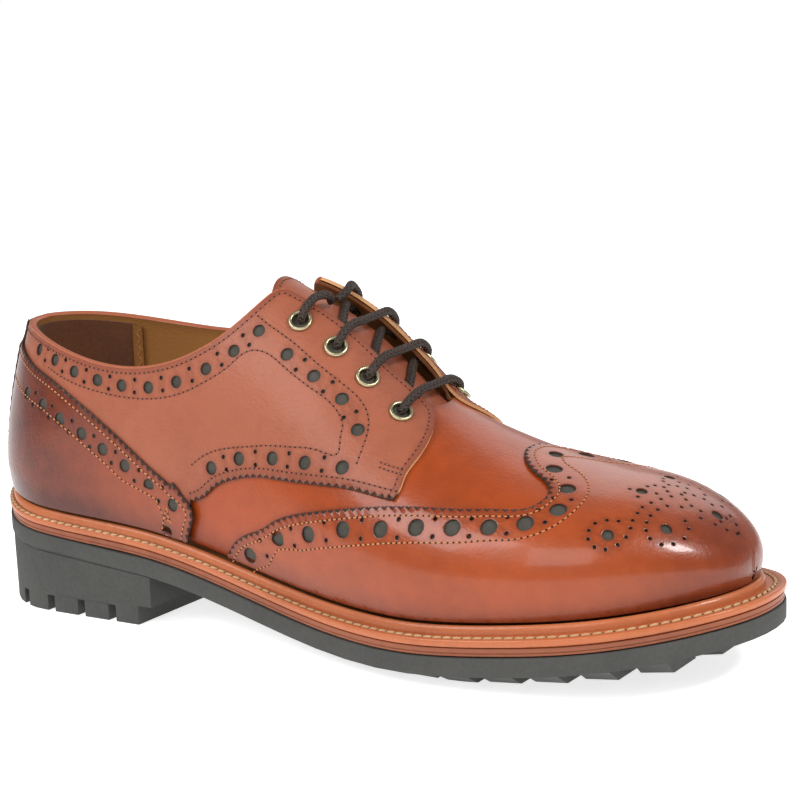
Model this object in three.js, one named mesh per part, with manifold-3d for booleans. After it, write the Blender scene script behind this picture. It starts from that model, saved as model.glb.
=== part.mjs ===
// A brogue shoe for the right foot: open-laced, wing-capped, welted to a cleated rubber sole.
// Millimetres, +X to the toe, +Y to the inner (medial) side, +Z up.
// The origin is in the heel's floor face, under the middle of the heel.
// One function, lastPoint, gives the surface of the last. The upper, its overlays, the tongue,
// the insole, the welt and the eyelets all take their place from it.
import * as THREE from 'three';
import manifoldModule from 'manifold-3d';

const wasm = await manifoldModule();
wasm.setup();
const { Manifold, Mesh: ManifoldMesh } = wasm;

// The last
const lastLength = 290;        // feather line, heel to toe
const ballWidth = 94;          // feather line across the ball of the foot
const instepHeight = 100;      // unit of the heights above the feather line
const heelCentre = 38;         // from the back of the feather line to the origin
const heelRound = 36;          // length of the rounded heel at the feather line
const heelRoundGrowth = 0.6;   // how much longer that rounding gets for each mm of height
const toeRound = 58;           // length of the rounded toe
const toeDome = 40;            // length over which the toe falls to the feather line
const toeSwing = 7.4;          // how far the toe swings to the inner side
const toeBulge = 2.2;          // how far the toe leans over its feather line
const bellyShare = 0.22;       // share of a section that lies below its widest height

// The sole
const heelHeight = 28;         // floor to the side of the outsole, at the back
const soleBack = 5;            // outsole behind the feather line
const soleFront = 10;          // outsole in front of the feather line
const soleHeelRound = 38;
const soleToeRound = 62;
const sideHeight = 6.3;        // side of the outsole
const midsoleThickness = 2.9;
const weltThickness = 2.4;
const beadHeight = 3.8;        // storm bead of the welt, up against the upper
const beadWidth = 3.4;
const beadClear = 0.6;         // from the bead's top up to the feather line
const gap = 0.3;               // between pieces that meet
const heelLength = 88;         // from the back of the outsole to the breast
const heelLift = 7;            // height of the cleated top piece
const breastStep = 6;          // how far the cleats stand back from the breast
const cleatDepth = 5.2;
const cleatSlot = 3.4;
const cleatPitch = 15;
const heelSlotPitch = 14.5;
const heelSlotHeight = 6;

// The upper
const wall = 2;
const quarterThickness = 1.3;
const counterThickness = 1.9;
const capThickness = 1.3;
const stripThickness = 1.1;
const stripWidth = 11;
const overlayFoot = 0.012;      // share of a section at which the overlays start, above the bead
const throatFront = 184;       // front end of the gap between the facings
const throatRound = 14;
const gapLateral = 10;         // from the ridge to the edge of each facing
const gapMedial = 8.5;
const facingTop = 133;         // where the collar line meets the facing's edge
const liftLateral = 0.6;       // how far each facing stands off the instep
const liftMedial = 2.6;
const insoleThickness = 3;
const insoleGap = 0.7;
const tongueThickness = 2;
const tongueGap = 0.7;
const tongueTop = 121;         // rear end of the tongue
const tongueFront = 192;
const tongueHalfWidth = 25;

// Lacing
const eyeletRows = [0.4765, 0.5245, 0.5665, 0.612];  // shares of the last's length
const eyeletShare = 0.775;     // share of the section, feather line to ridge
const eyeletOuter = 8;
const eyeletBore = 5;
const eyeletBarrel = 5.9;
const eyeletRim = 0.8;
const eyeletStand = 0.5;       // the flange's clearance over the curved facing
const laceDiameter = 3.6;
const laceLift = 3.3;          // centre of a bar above the facing's face
const barStart = 2;            // first row that has a bar on top

// Sections of the last. Widths are shares of half the ball width, heights shares of the
// instep height above the feather line; at is the share of the last's length.
const sectionColumns = ['at', 'footLateral', 'footMedial', 'bellyLateral', 'bellyMedial',
  'bellyHeight', 'ridge', 'ridgeSide', 'fullLateral', 'fullMedial'];
const sections = [
  [0.000, 0.723, 0.702, 0.032, 0.032, 0.17, 1.067, 0.000, 0.00, 0.00],
  [0.130, 0.740, 0.709, 0.032, 0.032, 0.17, 1.116, 0.000, 0.00, 0.00],
  [0.220, 0.721, 0.674, 0.032, 0.043, 0.17, 1.106, 0.000, 0.00, 0.00],
  [0.320, 0.700, 0.619, 0.043, 0.074, 0.17, 1.059, 0.000, 0.00, 0.00],
  [0.420, 0.743, 0.609, 0.043, 0.106, 0.16, 0.962, 0.021, -0.02, 0.00],
  [0.530, 0.847, 0.681, 0.043, 0.106, 0.15, 0.835, 0.043, -0.05, 0.00],
  [0.620, 0.945, 0.798, 0.043, 0.064, 0.14, 0.630, 0.043, -0.05, -0.04],
  [0.690, 1.000, 0.917, 0.043, 0.043, 0.13, 0.524, 0.032, 0.00, -0.03],
  [0.760, 0.989, 0.974, 0.043, 0.032, 0.12, 0.444, 0.011, 0.05, 0.00],
  [0.845, 0.928, 0.953, 0.043, 0.032, 0.11, 0.369, 0.000, 0.11, 0.05],
  [0.930, 0.819, 0.849, 0.043, 0.032, 0.11, 0.311, 0.000, 0.16, 0.10],
  [1.000, 0.681, 0.702, 0.043, 0.043, 0.11, 0.264, 0.000, 0.18, 0.14],
];

// Height of the outsole's side edge, as a share of the heel height.
const soleLineColumns = ['at', 'height'];
const soleLine = [
  [-0.017, 1.003], [0.138, 0.795], [0.283, 0.669], [0.414, 0.434], [0.552, 0.208],
  [0.690, 0.167], [0.828, 0.290], [0.931, 0.418], [1.034, 0.606],
];

// Outline of the outsole: half-widths as shares of half the ball width, at shares of its length.
const outlineColumns = ['at', 'lateral', 'medial'];
const outline = [
  [0.00, 0.660, 0.638], [0.06, 0.787, 0.766], [0.14, 0.830, 0.798], [0.22, 0.823, 0.777],
  [0.32, 0.815, 0.734], [0.42, 0.868, 0.734], [0.52, 0.985, 0.819], [0.60, 1.094, 0.947],
  [0.67, 1.157, 1.074], [0.74, 1.153, 1.138], [0.82, 1.102, 1.128], [0.90, 1.002, 1.032],
  [1.00, 0.853, 0.872],
];

// Lean of the heel's back: forward shift at a height, both as shares of the instep height.
const backColumns = ['height', 'lean'];
const backCurve = [
  [0, 0], [0.17, -0.024], [0.34, -0.006], [0.50, 0.030], [0.66, 0.080], [1.10, 0.240],
];

// Collar line: height above the floor as a share of the instep height, at shares of the length.
const collarColumns = ['at', 'lateral', 'medial'];
const collar = [
  [0.000, 1.030, 1.030], [0.060, 1.015, 1.020], [0.120, 0.985, 0.995], [0.170, 0.955, 0.975],
  [0.240, 0.923, 0.962], [0.310, 0.940, 0.975], [0.365, 1.000, 1.020], [0.400, 1.070, 1.080],
  [0.425, 1.150, 1.155], [0.460, 1.300, 1.300],
];

// Lower edge of the quarters, the counter's front edge, the facings' front and the wing line.
// Shares of the last's length against shares of the section from feather line to ridge.
const quarterEdge = [
  [0.000, 0.415], [0.060, 0.398], [0.125, 0.372], [0.190, 0.334], [0.260, 0.276], [0.325, 0.220],
  [0.352, 0.205], [0.372, 0.237], [0.391, 0.270], [0.418, 0.305], [0.460, 0.342],
  [0.500, 0.365], [0.557, 0.411], [0.595, 0.451], [0.650, 0.495],
];
const counterFront = [[0, 0.336], [0.4, 0.340], [1, 0.351]];
const facingFront = [
  [0.00, 0.648], [0.14, 0.652], [0.28, 0.653], [0.62, 0.655], [0.86, 0.645], [1.00, 0.632],
];
const wingLine = [
  [0.000, 0.405], [0.126, 0.428], [0.250, 0.484], [0.315, 0.540], [0.378, 0.591],
  [0.462, 0.651], [0.513, 0.697], [0.591, 0.772], [0.640, 0.798], [0.690, 0.811],
  [0.741, 0.813], [0.808, 0.798], [0.872, 0.764], [0.940, 0.748], [1.000, 0.742],
];

const LATERAL = -1;
const MEDIAL = 1;
const sides = [[LATERAL, 'lateral'], [MEDIAL, 'medial']];
const stack = sideHeight + gap + midsoleThickness + gap + weltThickness + beadHeight;

/** A natural cubic spline through points, held level past its ends. */
function spline(xs, ys) {
  const n = xs.length;
  const h = xs.slice(1).map((x, i) => x - xs[i]);
  const diagonal = new Array(n).fill(1);
  const right = new Array(n).fill(0);
  for (let i = 1; i < n - 1; i++) {
    diagonal[i] = 2 * (h[i - 1] + h[i]);
    right[i] = 6 * ((ys[i + 1] - ys[i]) / h[i] - (ys[i] - ys[i - 1]) / h[i - 1]);
    if (i > 1) {
      const k = h[i - 1] / diagonal[i - 1];
      diagonal[i] -= k * h[i - 1];
      right[i] -= k * right[i - 1];
    }
  }
  const bend = new Array(n).fill(0);
  for (let i = n - 2; i > 0; i--) bend[i] = (right[i] - h[i] * bend[i + 1]) / diagonal[i];
  return (x) => {
    const v = THREE.MathUtils.clamp(x, xs[0], xs[n - 1]);
    let i = 0;
    while (i < n - 2 && v > xs[i + 1]) i++;
    const a = xs[i + 1] - v;
    const b = v - xs[i];
    return (bend[i] * a ** 3 + bend[i + 1] * b ** 3) / (6 * h[i])
      + (ys[i] / h[i] - bend[i] * h[i] / 6) * a + (ys[i + 1] / h[i] - bend[i + 1] * h[i] / 6) * b;
  };
}

/** Splines of a table's columns, by name, against its first column. */
function tableOf(columns, rows, across, units) {
  const xs = rows.map((row) => row[0] * across);
  return Object.fromEntries(columns.slice(1).map((name, i) =>
    [name, spline(xs, rows.map((row) => row[i + 1] * (units[name] ?? units.all ?? 1)))]));
}

const half = ballWidth / 2;
const soleLength = soleBack + lastLength + soleFront;
const body = tableOf(sectionColumns, sections, lastLength, {
  footLateral: half, footMedial: half, bellyLateral: half, bellyMedial: half,
  bellyHeight: instepHeight, ridge: instepHeight, ridgeSide: half,
});
const soleEdge = tableOf(soleLineColumns, soleLine, lastLength, { all: heelHeight });
const plan = tableOf(outlineColumns, outline, soleLength, { all: half });
const back = tableOf(backColumns, backCurve, instepHeight, { all: instepHeight });
const collarHeight = tableOf(collarColumns, collar, lastLength, { all: instepHeight });
const pairs = (rows, unitX, unitY) =>
  spline(rows.map((row) => row[0] * unitX), rows.map((row) => row[1] * unitY));
const quarterLow = pairs(quarterEdge, lastLength, 1);
const counterEnd = pairs(counterFront, 1, lastLength);
const facingEnd = pairs(facingFront, 1, lastLength);
const wingStart = pairs(wingLine, 1, lastLength);

/** 0 to 1, smoothly, while x goes from a to b. */
const ease = (x, a, b) => THREE.MathUtils.smoothstep(x, a, b);
const sideOf = (side, lateral, medial) => (side === LATERAL ? lateral : medial);
const centreLine = (x) => toeSwing * THREE.MathUtils.clamp((x / lastLength - 0.29) / 0.71, 0, 1) ** 2;
const featherHeight = (x) => soleEdge.height(x) + stack;

/** A point of the last: x along it, t from 0 at the feather line to 1 at the ridge. */
function lastPoint(x, t, side) {
  const foot = sideOf(side, body.footLateral, body.footMedial)(x);
  const belly = foot + sideOf(side, body.bellyLateral, body.bellyMedial)(x);
  const full = sideOf(side, body.fullLateral, body.fullMedial)(x);
  const toe = lastLength - x;
  const fall = toe < toeDome ? Math.sqrt(1 - (1 - toe / toeDome) ** 2.3) : 1;
  const low = body.bellyHeight(x) * fall;
  const high = body.ridge(x) * fall;
  const turn = THREE.MathUtils.clamp((t - bellyShare) / (1 - bellyShare), 0, 1) * Math.PI / 2;
  const rise = Math.min(t / bellyShare, 1);
  const top = t > bellyShare ? Math.sin(turn) : 0;
  const width = t > bellyShare
    ? belly * Math.cos(turn) * (1 + full * top ** 2)
    : foot + (belly - foot) * (1 - (1 - rise) ** 2);
  const height = t > bellyShare ? low + (high - low) * top : low * rise;
  const round = heelRound + heelRoundGrowth * THREE.MathUtils.clamp(height - 10, 0, 60);
  const heelShare = x < round ? Math.sqrt(1 - (1 - x / round) ** 2) : 1;
  const toeShare = toe < toeRound ? (1 - (1 - toe / toeRound) ** 2.3) ** (1 / 2.2) : 1;
  const lean = back.lean(height) * (1 - ease(x, 0, 90));
  const forward = toeBulge * Math.max(0, 1 - toe / 50) ** 2
    * Math.sin(Math.PI * THREE.MathUtils.clamp(height / 26, 0, 1));
  return new THREE.Vector3(
    x + lean + forward,
    centreLine(x) + body.ridgeSide(x) * top ** 2 + side * width * heelShare * toeShare,
    featherHeight(x) + height,
  );
}

/** Outward normal of the last, exact where its two sides and its ends meet. */
function lastNormal(x, t, side) {
  if (x >= lastLength) return new THREE.Vector3(1, 0, 0);
  const step = 1e-3;
  const along = lastPoint(x + step, t, side).sub(lastPoint(Math.max(x - step, 0), t, side));
  const up = t >= 1 ? new THREE.Vector3(0, -side, 0)
    : lastPoint(x, t + step, side).sub(lastPoint(x, Math.max(t - step, 0), side));
  const normal = along.cross(up).multiplyScalar(-side);
  if (x <= 0) normal.y = 0;
  return normal.normalize();
}

/** How far a facing stands off the instep. */
function facingLift(x, t, side) {
  return sideOf(side, liftLateral, liftMedial) * ease(x, 112, 140) * (1 - ease(x, throatFront - 14, throatFront))
    * ease(t, 0.6, 0.95);
}

/** A point at a level above (or, negative, inside) the last. */
function skin(x, t, side, level, lifted = true) {
  const lift = lifted ? facingLift(x, t, side) : 0;
  return lastPoint(x, t, side).addScaledVector(lastNormal(x, t, side), level + lift);
}

/** The share t, found by halving, at which test(t) turns true. */
function shareWhere(test, low = 0.05, high = 1) {
  for (let i = 0; i < 40; i++) {
    const middle = (low + high) / 2;
    if (test(middle)) high = middle; else low = middle;
  }
  return (low + high) / 2;
}

/** The share at which the collar, or the edge of the facing, ends a section. */
function topShare(x, anySide) {
  if (x >= throatFront) return 1;
  const side = x <= 0 ? LATERAL : anySide;
  const heights = sideOf(side, collarHeight.lateral, collarHeight.medial);
  const collarShare = shareWhere((t) => {
    const point = lastPoint(x, t, side);
    return point.z > heights(point.x);
  });
  if (x < facingTop - 25) return collarShare;
  const round = Math.max(0, 1 - (throatFront - x) / throatRound);
  const reach = sideOf(side, gapLateral, gapMedial) * Math.sqrt(1 - round * round);
  const ridgeY = lastPoint(x, 1, side).y;
  const throatShare = shareWhere((t) => Math.abs(lastPoint(x, t, side).y - ridgeY) < reach, 0.5);
  return Math.min(collarShare, throatShare);
}

/** Shares from 0 to 1 that crowd at the start, the end, both or neither. */
function spread(count, crowdStart, crowdEnd) {
  return Array.from({ length: count + 1 }, (_, i) => {
    const s = i / count;
    if (crowdStart && crowdEnd) return (1 - Math.cos(Math.PI * s)) / 2;
    if (crowdStart) return 1 - Math.cos(Math.PI / 2 * s);
    if (crowdEnd) return Math.sin(Math.PI / 2 * s);
    return s;
  });
}

/** Welds corners that coincide, drops flat faces and turns the solid's faces outwards. */
function weld(corners, faces) {
  const index = new Map();
  const points = [];
  const place = corners.map((p) => {
    const key = `${Math.round(p.x * 1e3)},${Math.round(p.y * 1e3)},${Math.round(p.z * 1e3)}`;
    if (!index.has(key)) {
      index.set(key, points.length);
      points.push(p);
    }
    return index.get(key);
  });
  const kept = faces.map((face) => face.map((i) => place[i]))
    .filter(([a, b, c]) => a !== b && b !== c && c !== a);
  const volume = kept.reduce((sum, [a, b, c]) =>
    sum + points[a].dot(points[b].clone().cross(points[c])), 0);
  if (volume < 0) kept.forEach((face) => face.reverse());
  return { points, faces: kept };
}

/** Two triangles for each cell of a grid of corner numbers. */
function quads(grid, faces, flip = false) {
  for (let i = 0; i + 1 < grid.length; i++) {
    for (let j = 0; j + 1 < grid[i].length; j++) {
      const [a, b, c, d] = [grid[i][j], grid[i + 1][j], grid[i + 1][j + 1], grid[i][j + 1]];
      faces.push(...(flip ? [[a, c, b], [a, d, c]] : [[a, b, c], [a, c, d]]));
    }
  }
}

/** A closed wall between two grids of points, with the rims that rim(edge, i) allows. */
function wallBetween(outer, inner, rim = () => true) {
  const corners = [];
  const number = (grid) => grid.map((column) => column.map((point) => corners.push(point) - 1));
  const out = number(outer);
  const inn = number(inner);
  const faces = [];
  quads(out, faces);
  quads(inn, faces, true);
  const last = out.length - 1;
  const top = out[0].length - 1;
  const strip = (a, b, edge, flip) => {
    for (let i = 0; i + 1 < a.length; i++) {
      if (rim(edge, i)) quads([[a[i], b[i]], [a[i + 1], b[i + 1]]], faces, flip);
    }
  };
  strip(out.map((c) => c[0]), inn.map((c) => c[0]), 'bottom', true);
  strip(out.map((c) => c[top]), inn.map((c) => c[top]), 'top', false);
  strip(out[0], inn[0], 'start', false);
  strip(out[last], inn[last], 'end', true);
  return weld(corners, faces);
}

/** A closed ring or tube: profiles joined in turn, capped unless it closes on itself. */
function loft(profiles, closed = false) {
  const corners = [];
  const rings = profiles.map((ring) => ring.map((point) => corners.push(point) - 1));
  if (closed) rings.push(rings[0]);
  const faces = [];
  quads(rings.map((ring) => [...ring, ring[0]]), faces);
  if (!closed) {
    for (const [ring, flip] of [[rings[0], false], [rings[rings.length - 1], true]]) {
      for (let i = 1; i + 1 < ring.length; i++) {
        faces.push(flip ? [ring[0], ring[i + 1], ring[i]] : [ring[0], ring[i], ring[i + 1]]);
      }
    }
  }
  return weld(corners, faces);
}

const toManifold = ({ points, faces }) => new Manifold(new ManifoldMesh({
  numProp: 3,
  vertProperties: new Float32Array(points.flatMap((p) => [p.x, p.y, p.z])),
  triVerts: new Uint32Array(faces.flat()),
}));

function fromManifold(shape) {
  const mesh = shape.getMesh();
  const points = [];
  for (let i = 0; i < mesh.vertProperties.length; i += mesh.numProp) {
    points.push(new THREE.Vector3(...mesh.vertProperties.slice(i, i + 3)));
  }
  const faces = [];
  for (let i = 0; i < mesh.triVerts.length; i += 3) faces.push([...mesh.triVerts.slice(i, i + 3)]);
  return { points, faces };
}

/** The main body of a solid with others cut out of it. */
function cut(solid, tools) {
  const bodies = toManifold(solid).subtract(Manifold.union(tools.map(toManifold))).decompose();
  return fromManifold(bodies.reduce((a, b) => (a.volume() > b.volume() ? a : b)));
}

/** A solid joined with others. */
function join(solid, others) {
  return fromManifold(Manifold.union([solid, ...others].map(toManifold)));
}

/** A three.js geometry as a welded solid, moved by a matrix. */
function asSolid(geometry, matrix = new THREE.Matrix4()) {
  const position = geometry.toNonIndexed().getAttribute('position');
  const corners = [];
  for (let i = 0; i < position.count; i++) {
    corners.push(new THREE.Vector3().fromBufferAttribute(position, i).applyMatrix4(matrix));
  }
  const faces = Array.from({ length: corners.length / 3 }, (_, i) => [3 * i, 3 * i + 1, 3 * i + 2]);
  return weld(corners, faces);
}

/** A box given by its middle and its sizes. */
const block = (x, y, z, lengthX, lengthY, lengthZ) => asSolid(
  new THREE.BoxGeometry(lengthX, lengthY, lengthZ), new THREE.Matrix4().makeTranslation(x, y, z));

/** A matrix at a place of the upper whose Z is the outward normal. */
function seat(x, t, side, level) {
  const turn = new THREE.Quaternion().setFromUnitVectors(
    new THREE.Vector3(0, 0, 1), lastNormal(x, t, side));
  return new THREE.Matrix4().compose(skin(x, t, side, level), turn, new THREE.Vector3(1, 1, 1));
}

// Sole

/** Edge of the outsole at a share of its length, drawn in by inset. */
function solePoint(share, side, inset = 0) {
  const reach = share * soleLength;
  const toe = soleLength - reach;
  const heelShare = reach < soleHeelRound ? Math.sqrt(1 - (1 - reach / soleHeelRound) ** 2) : 1;
  const toeShare = toe < soleToeRound ? (1 - (1 - toe / soleToeRound) ** 2.3) ** (1 / 2.2) : 1;
  const width = sideOf(side, plan.lateral, plan.medial)(reach) * heelShare * toeShare;
  const x = reach - soleBack;
  return new THREE.Vector2(
    x + inset * (1 - 2 * share),
    centreLine(x) + side * Math.max(0, width - inset * heelShare * toeShare));
}

/** A plate in the sole's outline between two heights, which are functions of x. */
function plate(edge, bottom, top, stations, across = [-1, 1]) {
  const columns = (height) => stations.map((share) => {
    const [a, b] = [edge(share, LATERAL), edge(share, MEDIAL)];
    return across.map((s) => {
      const p = a.clone().lerp(b, (s + 1) / 2);
      return new THREE.Vector3(p.x, p.y, height(p.x));
    });
  });
  return wallBetween(columns(top), columns(bottom));
}

const soleStations = spread(36, true, true);
const outsoleEdge = (share, side) => solePoint(share, side);
const sideBottom = (x) => soleEdge.height(x);
const sideTop = (x) => sideBottom(x) + sideHeight;
const cleatBottom = (x) => Math.max(0, sideBottom(x) - cleatDepth);

/** One cleat under the outsole: a block from the floor line up into the plate. */
function cleat(x0, x1, y0, y1) {
  const ring = (x) => [[y0, cleatBottom(x)], [y1, cleatBottom(x)],
    [y1, sideBottom(x) + 1], [y0, sideBottom(x) + 1]].map(([y, z]) => new THREE.Vector3(x, y, z));
  return loft([x0, (x0 + x1) / 2, x1].map(ring));
}

/** Cleats along both edges and down the middle of the forepart. */
function forepartCleats() {
  const cleats = [];
  const first = 132;
  const last = lastLength + soleFront - 10;
  const inset = 2.5;
  for (let x = first; x + cleatPitch - cleatSlot < last; x += cleatPitch) {
    const end = x + cleatPitch - cleatSlot;
    const reach = [LATERAL, MEDIAL].map((side) => Math.min(...[x, end].map((v) =>
      Math.abs(solePoint((v + soleBack) / soleLength, side, inset).y - centreLine(v)))));
    const middle = centreLine((x + end) / 2);
    const band = 0.44;
    cleats.push(cleat(x, end, middle - reach[0], middle - reach[0] * band));
    cleats.push(cleat(x, end, middle + reach[1] * band, middle + reach[1]));
    const shift = cleatPitch / 2;
    if (end + shift < last) {
      cleats.push(cleat(x + shift, end + shift, middle - reach[0] * (band - 0.12),
        middle + reach[1] * (band - 0.12)));
    }
  }
  return cleats;
}

function makeOutsole() {
  const base = plate(outsoleEdge, sideBottom, sideTop, soleStations, [-1, -0.4, 0.4, 1]);
  return join(base, forepartCleats());
}

function makeHeel() {
  const inset = 0.4;
  const end = heelLength / soleLength;
  const stations = spread(16, true, false).map((s) => s * end);
  const edge = (share, side) => solePoint(share, side, inset);
  const base = plate(edge, () => 0, (x) => sideBottom(x) - gap, stations, [-1, -0.4, 0.4, 1]);
  const breast = heelLength - soleBack;
  const cuts = [block(breast, 0, heelLift / 2 - 1, breastStep * 2, ballWidth, heelLift + 2)];
  const slots = 4;
  for (let i = 0; i < slots; i++) {
    const x = breast - breastStep - 12 - i * heelSlotPitch;
    for (const [side] of sides) {
      const reach = Math.abs(solePoint((x + soleBack) / soleLength, side, inset).y);
      cuts.push(block(x, side * reach, heelSlotHeight / 2 - 1, cleatSlot, 16, heelSlotHeight + 2));
    }
  }
  return cut(base, cuts);
}

function makeMidsole() {
  const inset = 0.6;
  return plate((share, side) => solePoint(share, side, inset), (x) => sideTop(x) + gap,
    (x) => sideTop(x) + gap + midsoleThickness, soleStations, [-1, 0, 1]);
}

/** Feather line at a share of the last's length, moved outwards by out. */
function featherPoint(share, side, out) {
  const p = skin(share * lastLength, 0, side, 0, false);
  const n = lastNormal(share * lastLength, 0, side).setZ(0).normalize();
  return new THREE.Vector2(p.x + n.x * out, p.y + n.y * out);
}

/** Shares and sides once round the shoe, from the heel along the outer side and back. */
function roundTrip(shares) {
  const there = shares.map((share) => [share, LATERAL]);
  return [...there, ...shares.slice(1, -1).reverse().map((share) => [share, MEDIAL])];
}

function makeWelt() {
  const base = (x) => sideTop(x) + gap + midsoleThickness + gap;
  // The bead's arc: shares of its width and height.
  const bead = [[1.00, 0.08], [0.90, 0.52], [0.68, 0.86], [0.42, 1.00], [0.14, 0.90], [0.0, 0.62]];
  return loft(roundTrip(spread(40, true, true)).map(([share, side]) => {
    const inner = featherPoint(share, side, gap);
    const outer = solePoint(share, side);
    const breadth = inner.distanceTo(outer);
    const width = Math.min(beadWidth, breadth * 0.62);
    const at = (distance, height) => {
      const p = inner.clone().lerp(outer, distance / breadth);
      return new THREE.Vector3(p.x, p.y, base(p.x) + height);
    };
    return [at(0, 0), at(breadth, 0), at(breadth, weltThickness),
      ...bead.map(([w, h]) => at(w * width, weltThickness + h * (beadHeight - beadClear)))];
  }), true);
}

const insoleBase = (x) => sideTop(x) + gap + midsoleThickness + gap;

function makeInsole() {
  const inset = wall + insoleGap;
  return plate((share, side) => featherPoint(share, side, -inset), insoleBase,
    (x) => insoleBase(x) + insoleThickness, spread(34, true, true), [-1, 0, 1]);
}

// Upper

const upperStations = [
  ...spread(9, true, false).map((s) => s * facingTop / lastLength * 0.9),
  ...[0.415, 0.428, 0.443, 0.459, 0.49, 0.525, 0.56, 0.588, 0.606, 0.618, 0.628],
].map((share) => share * lastLength);
const vampStations = spread(12, false, true).map((s) => throatFront + s * (lastLength - throatFront));
const skirt = beadHeight + weltThickness;

/** Rows of one section, from the bottom of the wall to its top edge. */
function sectionColumn(x, side, level, rows) {
  const top = topShare(x, side);
  const column = rows.map((s) => skin(x, s * top, side, level));
  const foot = column[0].clone();
  foot.z = Math.max(insoleBase(foot.x), foot.z - skirt);
  return [foot, ...column];
}

/** The upper's wall between two levels. The overlays are cut by a slightly larger one. */
function upperForm(outside, inside) {
  const xs = [...upperStations, ...vampStations];
  const loop = [...xs.map((x) => [x, LATERAL]), ...xs.slice(0, -1).reverse().map((x) => [x, MEDIAL])];
  const rows = spread(8, false, false);
  const grid = (level) => loop.map(([x, side]) => sectionColumn(x, side, level, rows));
  const open = (edge, i) => {
    if (edge === 'start' || edge === 'end') return false;
    return edge === 'bottom' || Math.min(loop[i][0], loop[i + 1][0]) < throatFront;
  };
  return wallBetween(grid(outside), grid(inside), open);
}

/** An overlay on the upper: place(a, b) gives x, t and side for shares a and b. */
function overlay(along, up, place, thickness, rim) {
  const grid = (level) => along.map((a) => up.map((b) => {
    const [x, t, side] = place(a, b);
    return skin(x, t, side, level);
  }));
  return cut(wallBetween(grid(gap + thickness), grid(-gap), rim), [upperForm(gap, -wall)]);
}

function makeQuarter(side) {
  const first = 1.0;
  const reach = facingEnd(1) - first;
  const along = upperStations.map((x) => (x - first) / reach).filter((a) => a > 0.005 && a < 0.995);
  return overlay([0, ...along, 1], spread(6, false, false), (a, b) => {
    const x = first + a * (facingEnd(b) - first);
    const bottom = quarterLow(x) + 0.006;
    const top = topShare(Math.min(x, throatFront - 1.5), side) - 0.006;
    return [x, bottom + b * (top - bottom), side];
  }, quarterThickness);
}

function makeWingCap() {
  const shares = spread(10, false, false).map((s) => overlayFoot + s * (1 - overlayFoot));
  const rows = [...shares.map((t) => [t, LATERAL]),
    ...shares.slice(0, -1).reverse().map((t) => [t, MEDIAL])];
  return overlay(spread(11, false, true), rows, (a, [t, side]) => {
    const start = wingStart(t);
    return [start + a * (lastLength - start), t, side];
  }, capThickness, (edge) => edge !== 'end');
}

function makeCounter() {
  const around = [...spread(12, true, false).slice(1).reverse().map((a) => [a, LATERAL]),
    ...spread(12, true, false).map((a) => [a, MEDIAL])];
  return overlay(around, spread(5, false, false), ([a, side], b) => {
    const x = a * counterEnd(b);
    return [x, overlayFoot + b * (quarterLow(x) - 0.004 - overlayFoot), side];
  }, counterThickness);
}

function makeBackStrip() {
  const across = [-1, -0.6, 0, 0.6, 1];
  const top = topShare(0, MEDIAL);
  const edge = quarterLow(0);
  const level = (t) => 2 * gap
    + counterThickness + (quarterThickness - counterThickness) * ease(t, edge, edge + 0.05);
  const place = (a, b) => {
    const t = overlayFoot + b * (top - overlayFoot);
    const side = a < 0 ? LATERAL : MEDIAL;
    const height = lastPoint(40, t, side).z - featherHeight(40);
    const round = heelRound + heelRoundGrowth * THREE.MathUtils.clamp(height - 10, 0, 60);
    const widthShare = Math.abs(a) * stripWidth / 2 / Math.abs(lastPoint(round, t, side).y);
    return [round * (1 - Math.sqrt(1 - widthShare ** 2)), t, side];
  };
  const grid = (thickness) => across.map((a) => spread(10, false, false).map((b) => {
    const [x, t, side] = place(a, b);
    return skin(x, t, side, level(t) + thickness);
  }));
  return wallBetween(grid(stripThickness), grid(0));
}

function makeTongue() {
  const rows = [[LATERAL, 1], [LATERAL, 0.75], [LATERAL, 0.5], [LATERAL, 0.25], [MEDIAL, 0],
    [MEDIAL, 0.25], [MEDIAL, 0.5], [MEDIAL, 0.75], [MEDIAL, 1]];
  const grid = (level) => spread(14, false, false).map((a) => rows.map(([side, b]) => {
    // The rear end is rounded, and the sheet narrows towards the front.
    const x0 = tongueTop + 9 * b * b;
    const x = x0 + a * (tongueFront - x0);
    const reach = tongueHalfWidth * (1 - 0.25 * a) * b;
    const ridgeY = lastPoint(x, 1, side).y;
    const t = b === 0 ? 1 : shareWhere((s) => Math.abs(lastPoint(x, s, side).y - ridgeY) < reach, 0.4);
    return skin(x, t, side, level, false);
  }));
  return wallBetween(grid(-wall - tongueGap), grid(-wall - tongueGap - tongueThickness));
}

// Lacing

const eyeletPlace = (row, side) => [eyeletRows[row] * lastLength, eyeletShare, side];
const facingFace = gap + quarterThickness;

function eyeletHole(row, side) {
  const radius = eyeletBarrel / 2 + gap;
  const drill = new THREE.CylinderGeometry(radius, radius, 14, 16).rotateX(Math.PI / 2);
  return asSolid(drill, seat(...eyeletPlace(row, side), 0));
}

function makeEyelet(row, side) {
  const [bore, barrel, flange] = [eyeletBore / 2, eyeletBarrel / 2, eyeletOuter / 2];
  const face = facingFace + eyeletStand;
  const profile = [
    [bore, -wall - 0.2], [barrel, -wall - 0.2], [barrel, face], [flange, face],
    [flange - 0.15, face + eyeletRim * 0.6], [(flange + bore) / 2, face + eyeletRim],
    [bore, face + eyeletRim * 0.4], [bore, -wall - 0.2],
  ].map(([x, y]) => new THREE.Vector2(x, y));
  const ring = new THREE.LatheGeometry(profile, 12).rotateX(Math.PI / 2);
  return asSolid(ring, seat(...eyeletPlace(row, side), 0));
}

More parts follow.
